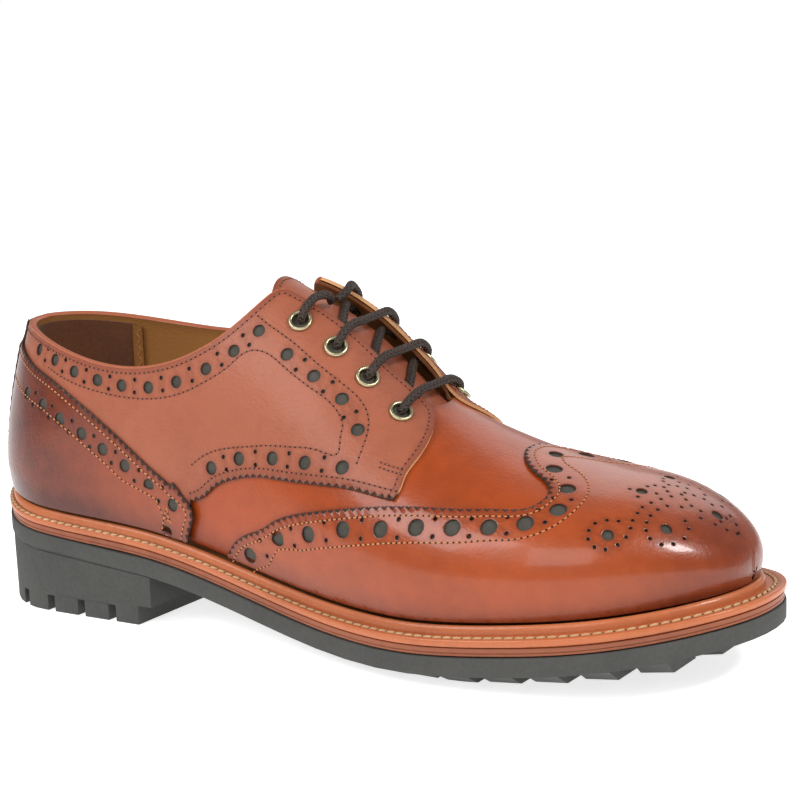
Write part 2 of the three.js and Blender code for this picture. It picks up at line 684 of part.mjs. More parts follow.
/** A tube along a smooth curve through points. */
function tube(points, diameter, steps, around) {
  const curve = new THREE.CatmullRomCurve3(points, false, 'centripetal');
  const frames = curve.computeFrenetFrames(steps, false);
  return loft(Array.from({ length: steps + 1 }, (_, i) => {
    const centre = curve.getPointAt(i / steps);
    return Array.from({ length: around }, (_, k) => {
      const angle = 2 * Math.PI * k / around;
      return centre.clone()
        .addScaledVector(frames.normals[i], Math.cos(angle) * diameter / 2)
        .addScaledVector(frames.binormals[i], Math.sin(angle) * diameter / 2);
    });
  }));
}

/** The lace's way out of an eyelet and up to the edge of its facing. */
function laceRise(row, side) {
  const [x, t] = eyeletPlace(row, side);
  const level = facingFace + laceLift;
  const edge = topShare(x, side);
  return [[t, -0.6], [t, facingFace + 1.2], [t + 0.02, level - 0.1], [t + 0.06, level],
    [edge - 0.01, level]].map(([share, height]) => skin(x, share, side, height));
}

function makeLaceBar(row) {
  const rise = laceRise(row, LATERAL);
  const fall = laceRise(row, MEDIAL).reverse();
  return tube([...rise, ...fall], laceDiameter, 26, 6);
}

/** The top row's lace turns down over the facing's edge into the gap. */
function makeLaceEnd(side) {
  const x = eyeletPlace(0, side)[0];
  const reach = side === LATERAL ? 1.5 : -1.5;
  const drop = skin(x + 1, 1, side, laceDiameter / 2 + 3.2);
  drop.y += side * 3 + reach;
  drop.x += side * 3;
  return tube([...laceRise(0, side), drop], laceDiameter, 18, 6);
}

// Scene graph: each piece with its own colour and finish.

const finishes = {
  rubber: { color: 0x3b3a37, roughness: 0.8, metalness: 0 },
  midsole: { color: 0xa9663c, roughness: 0.6, metalness: 0 },
  welt: { color: 0x9c4a24, roughness: 0.5, metalness: 0 },
  insole: { color: 0xb98a52, roughness: 0.7, metalness: 0 },
  vamp: { color: 0x8e3a17, roughness: 0.35, metalness: 0 },
  overlay: { color: 0x9c4a28, roughness: 0.4, metalness: 0 },
  tongue: { color: 0x8a3c1c, roughness: 0.5, metalness: 0 },
  brass: { color: 0xa59a6e, roughness: 0.35, metalness: 1 },
  lace: { color: 0x33241c, roughness: 0.9, metalness: 0 },
};

const shoe = new THREE.Group();
shoe.name = 'brogue_shoe';

/** Adds a solid to the shoe as a named mesh, moved so that the origin is under the heel. */
function add(name, solid, finish) {
  const geometry = new THREE.BufferGeometry();
  geometry.setAttribute('position', new THREE.Float32BufferAttribute(
    solid.points.flatMap((p) => [p.x - heelCentre, p.y, p.z]), 3));
  geometry.setIndex(solid.faces.flat());
  geometry.computeVertexNormals();
  const mesh = new THREE.Mesh(geometry, new THREE.MeshStandardMaterial(finishes[finish]));
  mesh.name = name;
  shoe.add(mesh);
}

const rows = eyeletRows.map((_, row) => row);
const holes = (side) => rows.map((row) => eyeletHole(row, side));

add('outsole', makeOutsole(), 'rubber');
add('heel', makeHeel(), 'rubber');
add('midsole', makeMidsole(), 'midsole');
add('welt', makeWelt(), 'welt');
add('insole', makeInsole(), 'insole');
add('upper', cut(upperForm(0, -wall), [...holes(LATERAL), ...holes(MEDIAL)]), 'vamp');
add('tongue', makeTongue(), 'tongue');
add('wing_cap', makeWingCap(), 'overlay');
add('heel_counter', makeCounter(), 'overlay');
add('back_strip', makeBackStrip(), 'overlay');
for (const [side, word] of sides) {
  add(`quarter_${word}`, cut(makeQuarter(side), holes(side)), 'overlay');
  rows.forEach((row) => add(`eyelet_${word}_${row + 1}`, makeEyelet(row, side), 'brass'));
  add(`lace_top_${word}`, makeLaceEnd(side), 'lace');
}
for (const row of rows.slice(barStart - 1)) add(`lace_bar_${row + 1}`, makeLaceBar(row), 'lace');

export default shoe;
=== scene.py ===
"""Dresses the brogue shoe.

Every leather piece is cut from a flat pattern, punched and pinked, and laid on the last. The
last is the same function of a few sizes and section tables as the solids are made from.
Sizes are millimetres from the back of the feather line; metres() turns them into the row's frame.
"""

import logging
import math
from dataclasses import dataclass, field
from enum import Enum
from typing import Callable, Sequence

import bmesh
import bpy
import numpy as np
from mathutils import Matrix, Vector
from mathutils.geometry import delaunay_2d_cdt


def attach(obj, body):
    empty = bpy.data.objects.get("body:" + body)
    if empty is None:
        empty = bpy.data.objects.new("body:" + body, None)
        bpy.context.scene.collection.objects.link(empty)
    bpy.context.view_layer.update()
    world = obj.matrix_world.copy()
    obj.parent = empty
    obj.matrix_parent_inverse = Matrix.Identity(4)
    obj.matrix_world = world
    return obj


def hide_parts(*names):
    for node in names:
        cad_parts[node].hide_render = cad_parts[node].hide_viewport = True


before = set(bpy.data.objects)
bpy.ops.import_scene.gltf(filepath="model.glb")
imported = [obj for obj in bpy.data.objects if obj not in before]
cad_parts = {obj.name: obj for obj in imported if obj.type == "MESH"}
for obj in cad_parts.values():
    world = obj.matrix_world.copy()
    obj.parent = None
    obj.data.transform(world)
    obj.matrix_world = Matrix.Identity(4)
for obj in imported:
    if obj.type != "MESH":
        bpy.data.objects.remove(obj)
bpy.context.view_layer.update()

log = logging.getLogger("brogue")
Array = np.ndarray
LATERAL, MEDIAL = -1.0, 1.0
SHARE_MM = 130.0        # pattern millimetres for a whole section, feather line to ridge
HEEL_CENTRE = 38.0      # from the back of the feather line to the row's origin


# The last

@dataclass(frozen=True)
class LastSizes:
    """Driving sizes of the last and of the wall on it, in millimetres."""
    length: float = 290.0
    ball_width: float = 94.0
    instep: float = 100.0
    heel_height: float = 28.0
    heel_round: float = 36.0
    heel_growth: float = 0.6
    toe_round: float = 58.0
    toe_dome: float = 40.0
    toe_swing: float = 7.4
    toe_bulge: float = 2.2
    belly_share: float = 0.22
    side: float = 6.3
    midsole: float = 2.9
    welt: float = 2.4
    bead: float = 3.8
    gap: float = 0.3
    sole_back: float = 5.0
    sole_front: float = 10.0
    sole_heel_round: float = 38.0
    sole_toe_round: float = 62.0
    heel_length: float = 88.0
    throat_front: float = 184.0
    throat_round: float = 14.0
    gap_lateral: float = 10.0
    gap_medial: float = 8.5
    facing_top: float = 133.0
    lift_lateral: float = 0.6
    lift_medial: float = 2.6

    @property
    def stack(self) -> float:
        """Height of the feather line above the outsole's side edge."""
        return self.side + self.midsole + self.welt + self.bead + 2 * self.gap

    @property
    def sole_length(self) -> float:
        """Length of the outsole."""
        return self.length + self.sole_back + self.sole_front


# at, foot lateral and medial, belly lateral and medial, belly height, ridge, ridge side,
# fullness lateral and medial: shares of half the ball width and of the instep height
SECTIONS = (
    (0.000, 0.723, 0.702, 0.032, 0.032, 0.17, 1.067, 0.000, 0.00, 0.00),
    (0.130, 0.740, 0.709, 0.032, 0.032, 0.17, 1.116, 0.000, 0.00, 0.00),
    (0.220, 0.721, 0.674, 0.032, 0.043, 0.17, 1.106, 0.000, 0.00, 0.00),
    (0.320, 0.700, 0.619, 0.043, 0.074, 0.17, 1.059, 0.000, 0.00, 0.00),
    (0.420, 0.743, 0.609, 0.043, 0.106, 0.16, 0.962, 0.021, -0.02, 0.00),
    (0.530, 0.847, 0.681, 0.043, 0.106, 0.15, 0.835, 0.043, -0.05, 0.00),
    (0.620, 0.945, 0.798, 0.043, 0.064, 0.14, 0.630, 0.043, -0.05, -0.04),
    (0.690, 1.000, 0.917, 0.043, 0.043, 0.13, 0.524, 0.032, 0.00, -0.03),
    (0.760, 0.989, 0.974, 0.043, 0.032, 0.12, 0.444, 0.011, 0.05, 0.00),
    (0.845, 0.928, 0.953, 0.043, 0.032, 0.11, 0.369, 0.000, 0.11, 0.05),
    (0.930, 0.819, 0.849, 0.043, 0.032, 0.11, 0.311, 0.000, 0.16, 0.10),
    (1.000, 0.681, 0.702, 0.043, 0.043, 0.11, 0.264, 0.000, 0.18, 0.14),
)
# at, height of the outsole's side edge as a share of the heel height
SOLE_LINE = ((-0.017, 1.003), (0.138, 0.795), (0.283, 0.669), (0.414, 0.434), (0.552, 0.208),
             (0.690, 0.167), (0.828, 0.290), (0.931, 0.418), (1.034, 0.606))
# at (share of the outsole's length), half-width lateral and medial
OUTLINE = ((0.00, 0.660, 0.638), (0.06, 0.787, 0.766), (0.14, 0.830, 0.798), (0.22, 0.823, 0.777),
           (0.32, 0.815, 0.734), (0.42, 0.868, 0.734), (0.52, 0.985, 0.819), (0.60, 1.094, 0.947),
           (0.67, 1.157, 1.074), (0.74, 1.153, 1.138), (0.82, 1.102, 1.128), (0.90, 1.002, 1.032),
           (1.00, 0.853, 0.872))
# height, forward lean of the heel's back
BACK_CURVE = ((0, 0.012), (0.17, 0.000), (0.34, 0.020), (0.50, 0.056), (0.66, 0.104),
              (1.10, 0.262))
# at, height of the collar lateral and medial
COLLAR = ((0.000, 1.030, 1.030), (0.060, 1.015, 1.020), (0.120, 0.985, 0.995),
          (0.170, 0.955, 0.975), (0.240, 0.923, 0.962), (0.310, 0.940, 0.975),
          (0.365, 1.000, 1.020), (0.400, 1.070, 1.080), (0.425, 1.150, 1.155),
          (0.460, 1.300, 1.300))


class Spline:
    """A natural cubic spline, held level past its ends."""

    def __init__(self, xs: Sequence[float], ys: Sequence[float]) -> None:
        """Solves the spline's bends through the points (xs, ys)."""
        self.xs, self.ys = np.asarray(xs, float), np.asarray(ys, float)
        self.h = np.diff(self.xs)
        n, h = len(self.xs), self.h
        system, right = np.eye(n), np.zeros(n)
        for i in range(1, n - 1):
            system[i, i - 1:i + 2] = h[i - 1], 2 * (h[i - 1] + h[i]), h[i]
            right[i] = 6 * ((self.ys[i + 1] - self.ys[i]) / h[i]
                            - (self.ys[i] - self.ys[i - 1]) / h[i - 1])
        self.bend = np.linalg.solve(system, right)

    def __call__(self, x: Array) -> Array:
        """Value at x."""
        v = np.clip(x, self.xs[0], self.xs[-1])
        i = np.clip(np.searchsorted(self.xs, v) - 1, 0, len(self.xs) - 2)
        a, b, h, m, y = self.xs[i + 1] - v, v - self.xs[i], self.h[i], self.bend, self.ys
        return ((m[i] * a ** 3 + m[i + 1] * b ** 3) / (6 * h)
                + (y[i] / h - m[i] * h / 6) * a + (y[i + 1] / h - m[i + 1] * h / 6) * b)


def table(rows: Sequence[Sequence[float]], across: float, units: Sequence[float]) -> list[Spline]:
    """Splines of a table's columns against its first one.

    Args:
        rows: The table, its first column a share of across.
        across: The length that the first column is a share of.
        units: The size that each further column is a share of.

    Returns:
        One spline for each further column.
    """
    xs = [row[0] * across for row in rows]
    return [Spline(xs, [row[i + 1] * unit for row in rows]) for i, unit in enumerate(units)]


def ease(x: Array, a: float, b: float) -> Array:
    """0 to 1, smoothly, while x goes from a to b."""
    s = np.clip((x - a) / (b - a), 0, 1)
    return s * s * (3 - 2 * s)


def unit(v: Array) -> Array:
    """Vectors of length one."""
    return v / np.maximum(np.linalg.norm(v, axis=-1, keepdims=True), 1e-12)


class Last:
    """The surface that everything is laid on."""

    def __init__(self, sizes: LastSizes) -> None:
        """Makes the splines of the tables."""
        self.s = sizes
        half, rise = sizes.ball_width / 2, sizes.instep
        (self.foot_l, self.foot_m, self.belly_l, self.belly_m, self.low, self.high,
         self.ridge_side, self.full_l, self.full_m) = table(
            SECTIONS, sizes.length, (half, half, half, half, rise, rise, half, 1, 1))
        self.edge, = table(SOLE_LINE, sizes.length, (sizes.heel_height,))
        self.plan_l, self.plan_m = table(OUTLINE, sizes.sole_length, (half, half))
        self.back, = table(BACK_CURVE, rise, (rise,))
        self.collar_l, self.collar_m = table(COLLAR, sizes.length, (rise, rise))

    def centre(self, x: Array) -> Array:
        """Side shift of the middle line."""
        return self.s.toe_swing * np.clip((x / self.s.length - 0.29) / 0.71, 0, 1) ** 2

    def feather(self, x: Array) -> Array:
        """Height of the feather line."""
        return self.edge(x) + self.s.stack

    def point(self, x: Array, t: Array, side: Array) -> Array:
        """Points of the last.

        Args:
            x: Station along the last.
            t: 0 at the feather line to 1 at the ridge; below 0 it runs on down into the welt.
            side: LATERAL or MEDIAL.

        Returns:
            Points in millimetres, one row each.
        """
        s = self.s
        x, t, side = np.broadcast_arrays(*(np.asarray(v, float) for v in (x, t, side)))
        outer = side < 0
        foot = np.where(outer, self.foot_l(x), self.foot_m(x))
        belly = foot + np.where(outer, self.belly_l(x), self.belly_m(x))
        full = np.where(outer, self.full_l(x), self.full_m(x))
        toe = s.length - x
        fall = np.sqrt(np.clip(1 - np.clip(1 - toe / s.toe_dome, 0, 1) ** 2.3, 0, 1))
        low, high = self.low(x) * fall, self.high(x) * fall
        turn = np.clip((t - s.belly_share) / (1 - s.belly_share), 0, 1) * np.pi / 2
        rise, above = np.minimum(t / s.belly_share, 1), t > s.belly_share
        top = np.where(above, np.sin(turn), 0)
        width = np.where(above, belly * np.cos(turn) * (1 + full * top ** 2),
                         foot + (belly - foot) * (1 - (1 - rise) ** 2))
        height = np.where(above, low + (high - low) * top, low * rise)
        round_ = s.heel_round + s.heel_growth * np.clip(height - 10, 0, 60)
        width = width * np.sqrt(np.clip(1 - np.clip(1 - x / round_, 0, 1) ** 2, 0, 1))
        width = width * np.clip(1 - np.clip(1 - toe / s.toe_round, 0, 1) ** 2.3, 0, 1) ** (1 / 2.2)
        lean = self.back(height) * (1 - ease(x, 0, 90))
        forward = s.toe_bulge * np.clip(1 - toe / 50, 0, 1) ** 2 * np.sin(
            np.pi * np.clip(height / 26, 0, 1))
        return np.stack([x + lean + forward,
                         self.centre(x) + self.ridge_side(x) * top ** 2 + side * width,
                         self.feather(x) + height], -1)

    def normal(self, x: Array, t: Array, side: Array) -> Array:
        """Outward normals, exact at the ridge, the heel and the toe."""
        x, t, side = np.broadcast_arrays(*(np.asarray(v, float) for v in (x, t, side)))
        step = 1e-3
        along = self.point(x + step, t, side) - self.point(np.maximum(x - step, 0), t, side)
        up = self.point(x, t + step, side) - self.point(x, t - step, side)
        ridge = np.zeros(up.shape)
        ridge[..., 1] = -side
        up = np.where((t >= 1 - 1e-6)[..., None], ridge, up)
        normal = np.cross(along, up) * -side[..., None]
        normal[..., 1] = np.where(x <= 1e-6, 0, normal[..., 1])
        toe = np.broadcast_to(np.array([1.0, 0, 0]), normal.shape)
        return unit(np.where((x >= self.s.length - 1e-4)[..., None], toe, normal))

    def lift(self, x: Array, t: Array, side: Array) -> Array:
        """How far a facing stands off the instep."""
        s = self.s
        most = np.where(np.asarray(side) < 0, s.lift_lateral, s.lift_medial)
        return (most * ease(x, 112, 140) * (1 - ease(x, s.throat_front - 14, s.throat_front))
                * ease(t, 0.6, 0.95))

    def skin(self, x: Array, t: Array, side: Array, level: Array, lifted: bool = True) -> Array:
        """Points at a level above (or, negative, inside) the last."""
        rise = level + (self.lift(x, t, side) if lifted else 0)
        return self.point(x, t, side) + self.normal(x, t, side) * np.asarray(rise)[..., None]

    def top_share(self, x: Array, side: float) -> Array:
        """The share at which the collar, or the facing's edge, ends a section."""
        s = self.s
        x = np.asarray(x, float)
        heights = self.collar_l if side < 0 else self.collar_m
        inset = np.maximum(0, 1 - (s.throat_front - x) / s.throat_round)
        reach = (s.gap_lateral if side < 0 else s.gap_medial) * np.sqrt(
            np.clip(1 - inset * inset, 0, 1))
        ridge = self.point(x, 1.0, side)[..., 1]

        def over_collar(t: Array) -> Array:
            """Whether a share lies above the collar's height."""
            point = self.point(x, t, side)
            return point[..., 2] > heights(point[..., 0])

        def in_throat(t: Array) -> Array:
            """Whether a share lies in the gap between the facings."""
            return np.abs(self.point(x, t, side)[..., 1] - ridge) < reach

        collar = halve(over_collar, np.full(x.shape, 0.05))
        throat = halve(in_throat, np.full(x.shape, 0.5))
        return np.where(x >= s.throat_front, 1.0,
                        np.where(x < s.facing_top - 25, collar, np.minimum(collar, throat)))

    def sole_point(self, share: Array, side: Array, inset: Array = 0.0) -> Array:
        """Edge of the outsole in plan, at a share of its length, drawn in by inset."""
        s = self.s
        share, side, inset = np.broadcast_arrays(
            *(np.asarray(v, float) for v in (share, side, inset)))
        reach = share * s.sole_length
        toe = s.sole_length - reach
        ends = np.sqrt(np.clip(1 - np.clip(1 - reach / s.sole_heel_round, 0, 1) ** 2, 0, 1))
        ends = ends * np.clip(
            1 - np.clip(1 - toe / s.sole_toe_round, 0, 1) ** 2.3, 0, 1) ** (1 / 2.2)
        width = np.where(side < 0, self.plan_l(reach), self.plan_m(reach)) * ends
        x = reach - s.sole_back
        return np.stack([x + inset * (1 - 2 * share),
                         self.centre(x) + side * np.maximum(0, width - inset * ends)], -1)

    def feather_point(self, share: Array, side: Array, out: Array = 0.0) -> Array:
        """The feather line in plan, at a share of the last's length, moved outwards by out."""
        x = np.asarray(share, float) * self.s.length
        point = self.skin(x, 0.0, side, 0.0, False)[..., :2]
        normal = unit(self.normal(x, 0.0, side)[..., :2])
        return point + normal * np.asarray(out, float)[..., None]

    def side_top(self, x: Array) -> Array:
        """Height of the outsole's upper face."""
        return self.edge(x) + self.s.side


def halve(test: Callable[[Array], Array], low: Array) -> Array:
    """The shares, from low to 1, at which test turns true."""
    low, high = low.copy(), np.ones(low.shape)
    for _ in range(34):
        middle = (low + high) / 2
        hit = test(middle)
        high, low = np.where(hit, middle, high), np.where(hit, low, middle)
    return (low + high) / 2


# Patterns and how they are laid

class Lay(Enum):
    """How a flat pattern is laid on the last."""
    ROUND_HEEL = "round the heel"
    OVER_FOOT = "over the foot"


class Pattern:
    """Flat coordinates, roughly millimetres, of the last's surface."""

    heel_bend = 36.0
    toe_bend = 22.0

    def __init__(self, last: Last, lay: Lay) -> None:
        """Keeps the last and the way of laying."""
        self.last, self.lay = last, lay

    def flat(self, x: Array, t: Array, side: Array) -> Array:
        """Pattern coordinates of a place on the last."""
        x, t, side = np.broadcast_arrays(*(np.asarray(v, float) for v in (x, t, side)))
        if self.lay is Lay.ROUND_HEEL:
            bend = self.heel_bend
            along = np.sqrt(np.maximum((x + bend) ** 2 - bend ** 2, 0))
            return np.stack([side * along, t * SHARE_MM], -1)
        bend, end = self.toe_bend, self.last.s.length
        along = end + bend - np.sqrt(np.maximum((end - x + bend) ** 2 - bend ** 2, 0))
        return np.stack([along, np.where(side < 0, t, 2 - t) * SHARE_MM], -1)

    def place(self, uv: Array) -> tuple[Array, Array, Array]:
        """Station, share and side of pattern coordinates."""
        u, w = uv[..., 0], uv[..., 1] / SHARE_MM
        if self.lay is Lay.ROUND_HEEL:
            bend = self.heel_bend
            return np.sqrt(u * u + bend * bend) - bend, w, np.where(u < 0, LATERAL, MEDIAL)
        bend, end = self.toe_bend, self.last.s.length
        x = end + bend - np.sqrt((end + bend - u) ** 2 + bend * bend)
        return x, np.where(w <= 1, w, 2 - w), np.where(w <= 1, LATERAL, MEDIAL)

    def lay_on(self, uv: Array, level: Array, lifted: bool = True) -> Array:
        """Points of pattern coordinates at a level of the last."""
        x, t, side = self.place(uv)
        return self.last.skin(x, t, side, level, lifted)

    def spread_out(self, uv: Array) -> Array:
        """Plane coordinates in which near places of the last are near: for cutting."""
        if self.lay is Lay.ROUND_HEEL:
            return uv
        x, t, side = self.place(uv)
        point, normal = self.last.point(x, t, side), self.last.normal(x, t, side)
        tall = (self.last.point(x, 1.0, side) - self.last.point(x, 0.0, side))[..., 2]
        out = normal[..., :2] / np.maximum(
            np.linalg.norm(normal[..., :2], axis=-1, keepdims=True), 0.8)
        reach = 1.25 * np.maximum(tall, 30.0) * np.maximum(1 - t, 0) ** 1.5
        end = self.last.s.length
        middle = np.array([end - 35.0, float(self.last.centre(end))])
        share = ease(x, end - 50, end - 25)[..., None]
        out = out * (1 - share) + unit(point[..., :2] - middle) * share
        return point[..., :2] + out * reach[..., None]

    def axes(self, uv: Array) -> tuple[Array, Array, Array]:
        """Two surface directions and the matrix from pattern steps to millimetres along them."""
        step = 0.05
        du = (self.lay_on(uv + [step, 0], 0.0) - self.lay_on(uv - [step, 0], 0.0)) / (2 * step)
        dw = (self.lay_on(uv + [0, step], 0.0) - self.lay_on(uv - [0, step], 0.0)) / (2 * step)
        e1 = unit(du)
        e2 = unit(dw - e1 * np.sum(dw * e1, -1, keepdims=True))
        matrix = np.stack([np.stack([np.sum(du * e, -1), np.sum(dw * e, -1)], -1)
                           for e in (e1, e2)], -2)
        return e1, e2, matrix

    def step(self, uv: Array, move: Array) -> Array:
        """Pattern coordinates moved by millimetres along the surface's two directions."""
        matrix = self.axes(uv)[2]
        return uv + np.linalg.solve(matrix, move[..., None])[..., 0]

    def circle(self, centre: Array, radius: float, corners: int) -> Array:
        """Pattern coordinates of a true circle on the surface."""
        angle = np.arange(corners) * 2 * np.pi / corners
        move = radius * np.stack([np.cos(angle), np.sin(angle)], -1)
        return self.step(np.repeat(centre[None], corners, 0), move)

    def shift(self, path: Array, distance: Array, closed: bool = False) -> Array:
        """A path moved sideways, to its left, by millimetres on the surface."""
        if closed:
            along = np.roll(path, -1, 0) - np.roll(path, 1, 0)
        else:
            along = np.gradient(path, axis=0)
        matrix = self.axes(path)[2]
        run = unit(np.einsum("nij,nj->ni", matrix, along))
        left = np.stack([-run[:, 1], run[:, 0]], -1) * np.asarray(distance).reshape(-1, 1)
        return path + np.linalg.solve(matrix, left[..., None])[..., 0]

    def walk(self, points: Array, pace: float) -> Array:
        """A smooth path through three or more points, in equal steps of about pace millimetres."""
        points = np.asarray(points, float)
        chord = np.concatenate([[0], np.cumsum(np.linalg.norm(np.diff(points, axis=0), axis=1))])
        fine = np.linspace(0, chord[-1], max(200, 8 * len(points)))
        path = np.stack([Spline(chord, points[:, i])(fine) for i in (0, 1)], -1)
        return self.pace(path, pace)

    def pace(self, path: Array, pace: float, ends: bool = True) -> Array:
        """A path in equal steps of about pace millimetres, with its ends or between them."""
        solid = self.lay_on(path, 0.0)
        run = np.concatenate([[0], np.cumsum(np.linalg.norm(np.diff(solid, axis=0), axis=1))])
        count = max(1, round(run[-1] / pace))
        if ends:
            at = np.linspace(0, run[-1], count + 1)
        else:
            at = (np.arange(count) + 0.5) * run[-1] / count
        return np.stack([np.interp(at, run, path[:, i]) for i in (0, 1)], -1)


def metres(points: Array) -> Array:
    """Millimetres from the feather line's back into metres in the row's frame."""
    return (np.asarray(points) - [HEEL_CENTRE, 0, 0]) * 0.001


@dataclass(frozen=True)
class Punch:
    """A hole in a pattern: its middle, radius in millimetres and number of corners."""
    centre: tuple[float, float]
    radius: float
    corners: int = 10


def inside(loop: Array, points: Array) -> Array:
    """Which points lie inside a closed loop."""
    x, y = points[:, 0][:, None], points[:, 1][:, None]
    x0, y0 = loop[:, 0][None], loop[:, 1][None]
    x1, y1 = np.roll(x0, -1, 1), np.roll(y0, -1, 1)
    with np.errstate(divide="ignore", invalid="ignore"):
        crosses = ((y0 > y) != (y1 > y)) & (x < (x1 - x0) * (y - y0) / (y1 - y0) + x0)
    return crosses.sum(1) % 2 == 1


def distance_to(points: Array, loop: Array) -> Array:
    """Distance of points to the nearest side of a closed loop."""
    best = np.full(len(points), np.inf)
    following = np.roll(loop, -1, 0)
    for a, b in zip(loop, following):
        run = b - a
        s = np.clip(((points - a) @ run) / max(run @ run, 1e-12), 0, 1)
        best = np.minimum(best, np.linalg.norm(points - a - s[:, None] * run, axis=1))
    return best


# Meshes

def finish_mesh(name: str, bm: bmesh.types.BMesh, material: bpy.types.Material,
                sharp: float | None = 40.0) -> bpy.types.Object:
    """Turns a bmesh into a smooth shaded object.

    Args:
        name: The piece's name.
        bm: The shape, freed afterwards.
        material: Its finish.
        sharp: Edges turning more than this many degrees stay sharp; None keeps them as marked.

    Returns:
        The object, linked to the scene.
    """
    bmesh.ops.recalc_face_normals(bm, faces=bm.faces)
    for face in bm.faces:
        face.smooth = True
    if sharp is not None:
        for edge in bm.edges:
            edge.smooth = not (edge.is_manifold and edge.calc_face_angle(0) > math.radians(sharp))
    mesh = bpy.data.meshes.new(name)
    bm.to_mesh(mesh)
    bm.free()
    mesh.materials.append(material)
    piece = bpy.data.objects.new(name, mesh)
    bpy.context.scene.collection.objects.link(piece)
    return piece


def fit(piece: bpy.types.Object, slot: str, *nodes: str) -> bpy.types.Object:
    """Puts a piece on the shoe and hides the CAD nodes that it stands for."""
    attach(piece, "root")
    if nodes:
        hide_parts(*nodes)
    log.info("%s: %d faces", piece.name, len(piece.data.polygons))
    return piece


def layer_of(bm: bmesh.types.BMesh, domain: str, name: str) -> bmesh.types.BMLayerItem:
    """A named number kept on each vertex or face."""
    layers = getattr(bm, domain).layers.float
    return layers.get(name) or layers.new(name)


def woven(rings: Array, closed: bool, marks: dict[str, Array] | None = None) -> bmesh.types.BMesh:
    """A tube through rings of points, woven on a grid.

    Args:
        rings: Millimetre points, one row for each ring; each ring is closed on itself.
        closed: Whether the last ring joins the first; otherwise the ends are capped.
        marks: Named numbers for each point.

    Returns:
        The closed shape, in metres.
    """
    rows, corners = rings.shape[:2]
    rings = np.concatenate([rings, rings[:, :1]], 1)
    if closed:
        rings = np.concatenate([rings, rings[:1]], 0)
    bm = bmesh.new()
    bmesh.ops.create_grid(bm, x_segments=corners, y_segments=len(rings) - 1, size=1.0)
    layers = {key: (layer_of(bm, "verts", key), value) for key, value in (marks or {}).items()}
    for i, (vert, place) in enumerate(zip(bm.verts, metres(rings.reshape(-1, 3)))):
        vert.co = place
        row, corner = divmod(i, corners + 1)
        for layer, value in layers.values():
            vert[layer] = value[row % rows, corner % corners]
    bmesh.ops.remove_doubles(bm, verts=bm.verts, dist=1e-7)
    if not closed:
        bmesh.ops.holes_fill(bm, edges=[e for e in bm.edges if e.is_boundary], sides=0)
    return bm


def stamp(name: str, unit_shape: bmesh.types.BMesh, frames: Array,
          material: bpy.types.Material) -> bpy.types.Object:
    """Repeats a small shape at many places.

    Args:
        name: The piece's name.
        unit_shape: The shape in millimetres, freed afterwards.
        frames: For each copy a 3 by 4 matrix whose columns are three axes and a place.
        material: The finish.

    Returns:
        One object with all the copies.
    """
    bmesh.ops.recalc_face_normals(unit_shape, faces=unit_shape.faces)
    unit_shape.verts.index_update()
    points = np.array([v.co[:] for v in unit_shape.verts])
    faces = [[v.index for v in f.verts] for f in unit_shape.faces]
    unit_shape.free()
    frames = np.asarray(frames)
    places = np.einsum("nij,pj->npi", frames[:, :, :3], points) + frames[:, None, :, 3]
    mesh = bpy.data.meshes.new(name)
    count = len(points)
    mesh.from_pydata(metres(places.reshape(-1, 3)).tolist(), [],
                     [[i + k * count for i in f] for k in range(len(frames)) for f in faces])
    mesh.polygons.foreach_set("use_smooth", [True] * len(mesh.polygons))
    mesh.materials.append(material)
    piece = bpy.data.objects.new(name, mesh)
    bpy.context.scene.collection.objects.link(piece)
    return piece


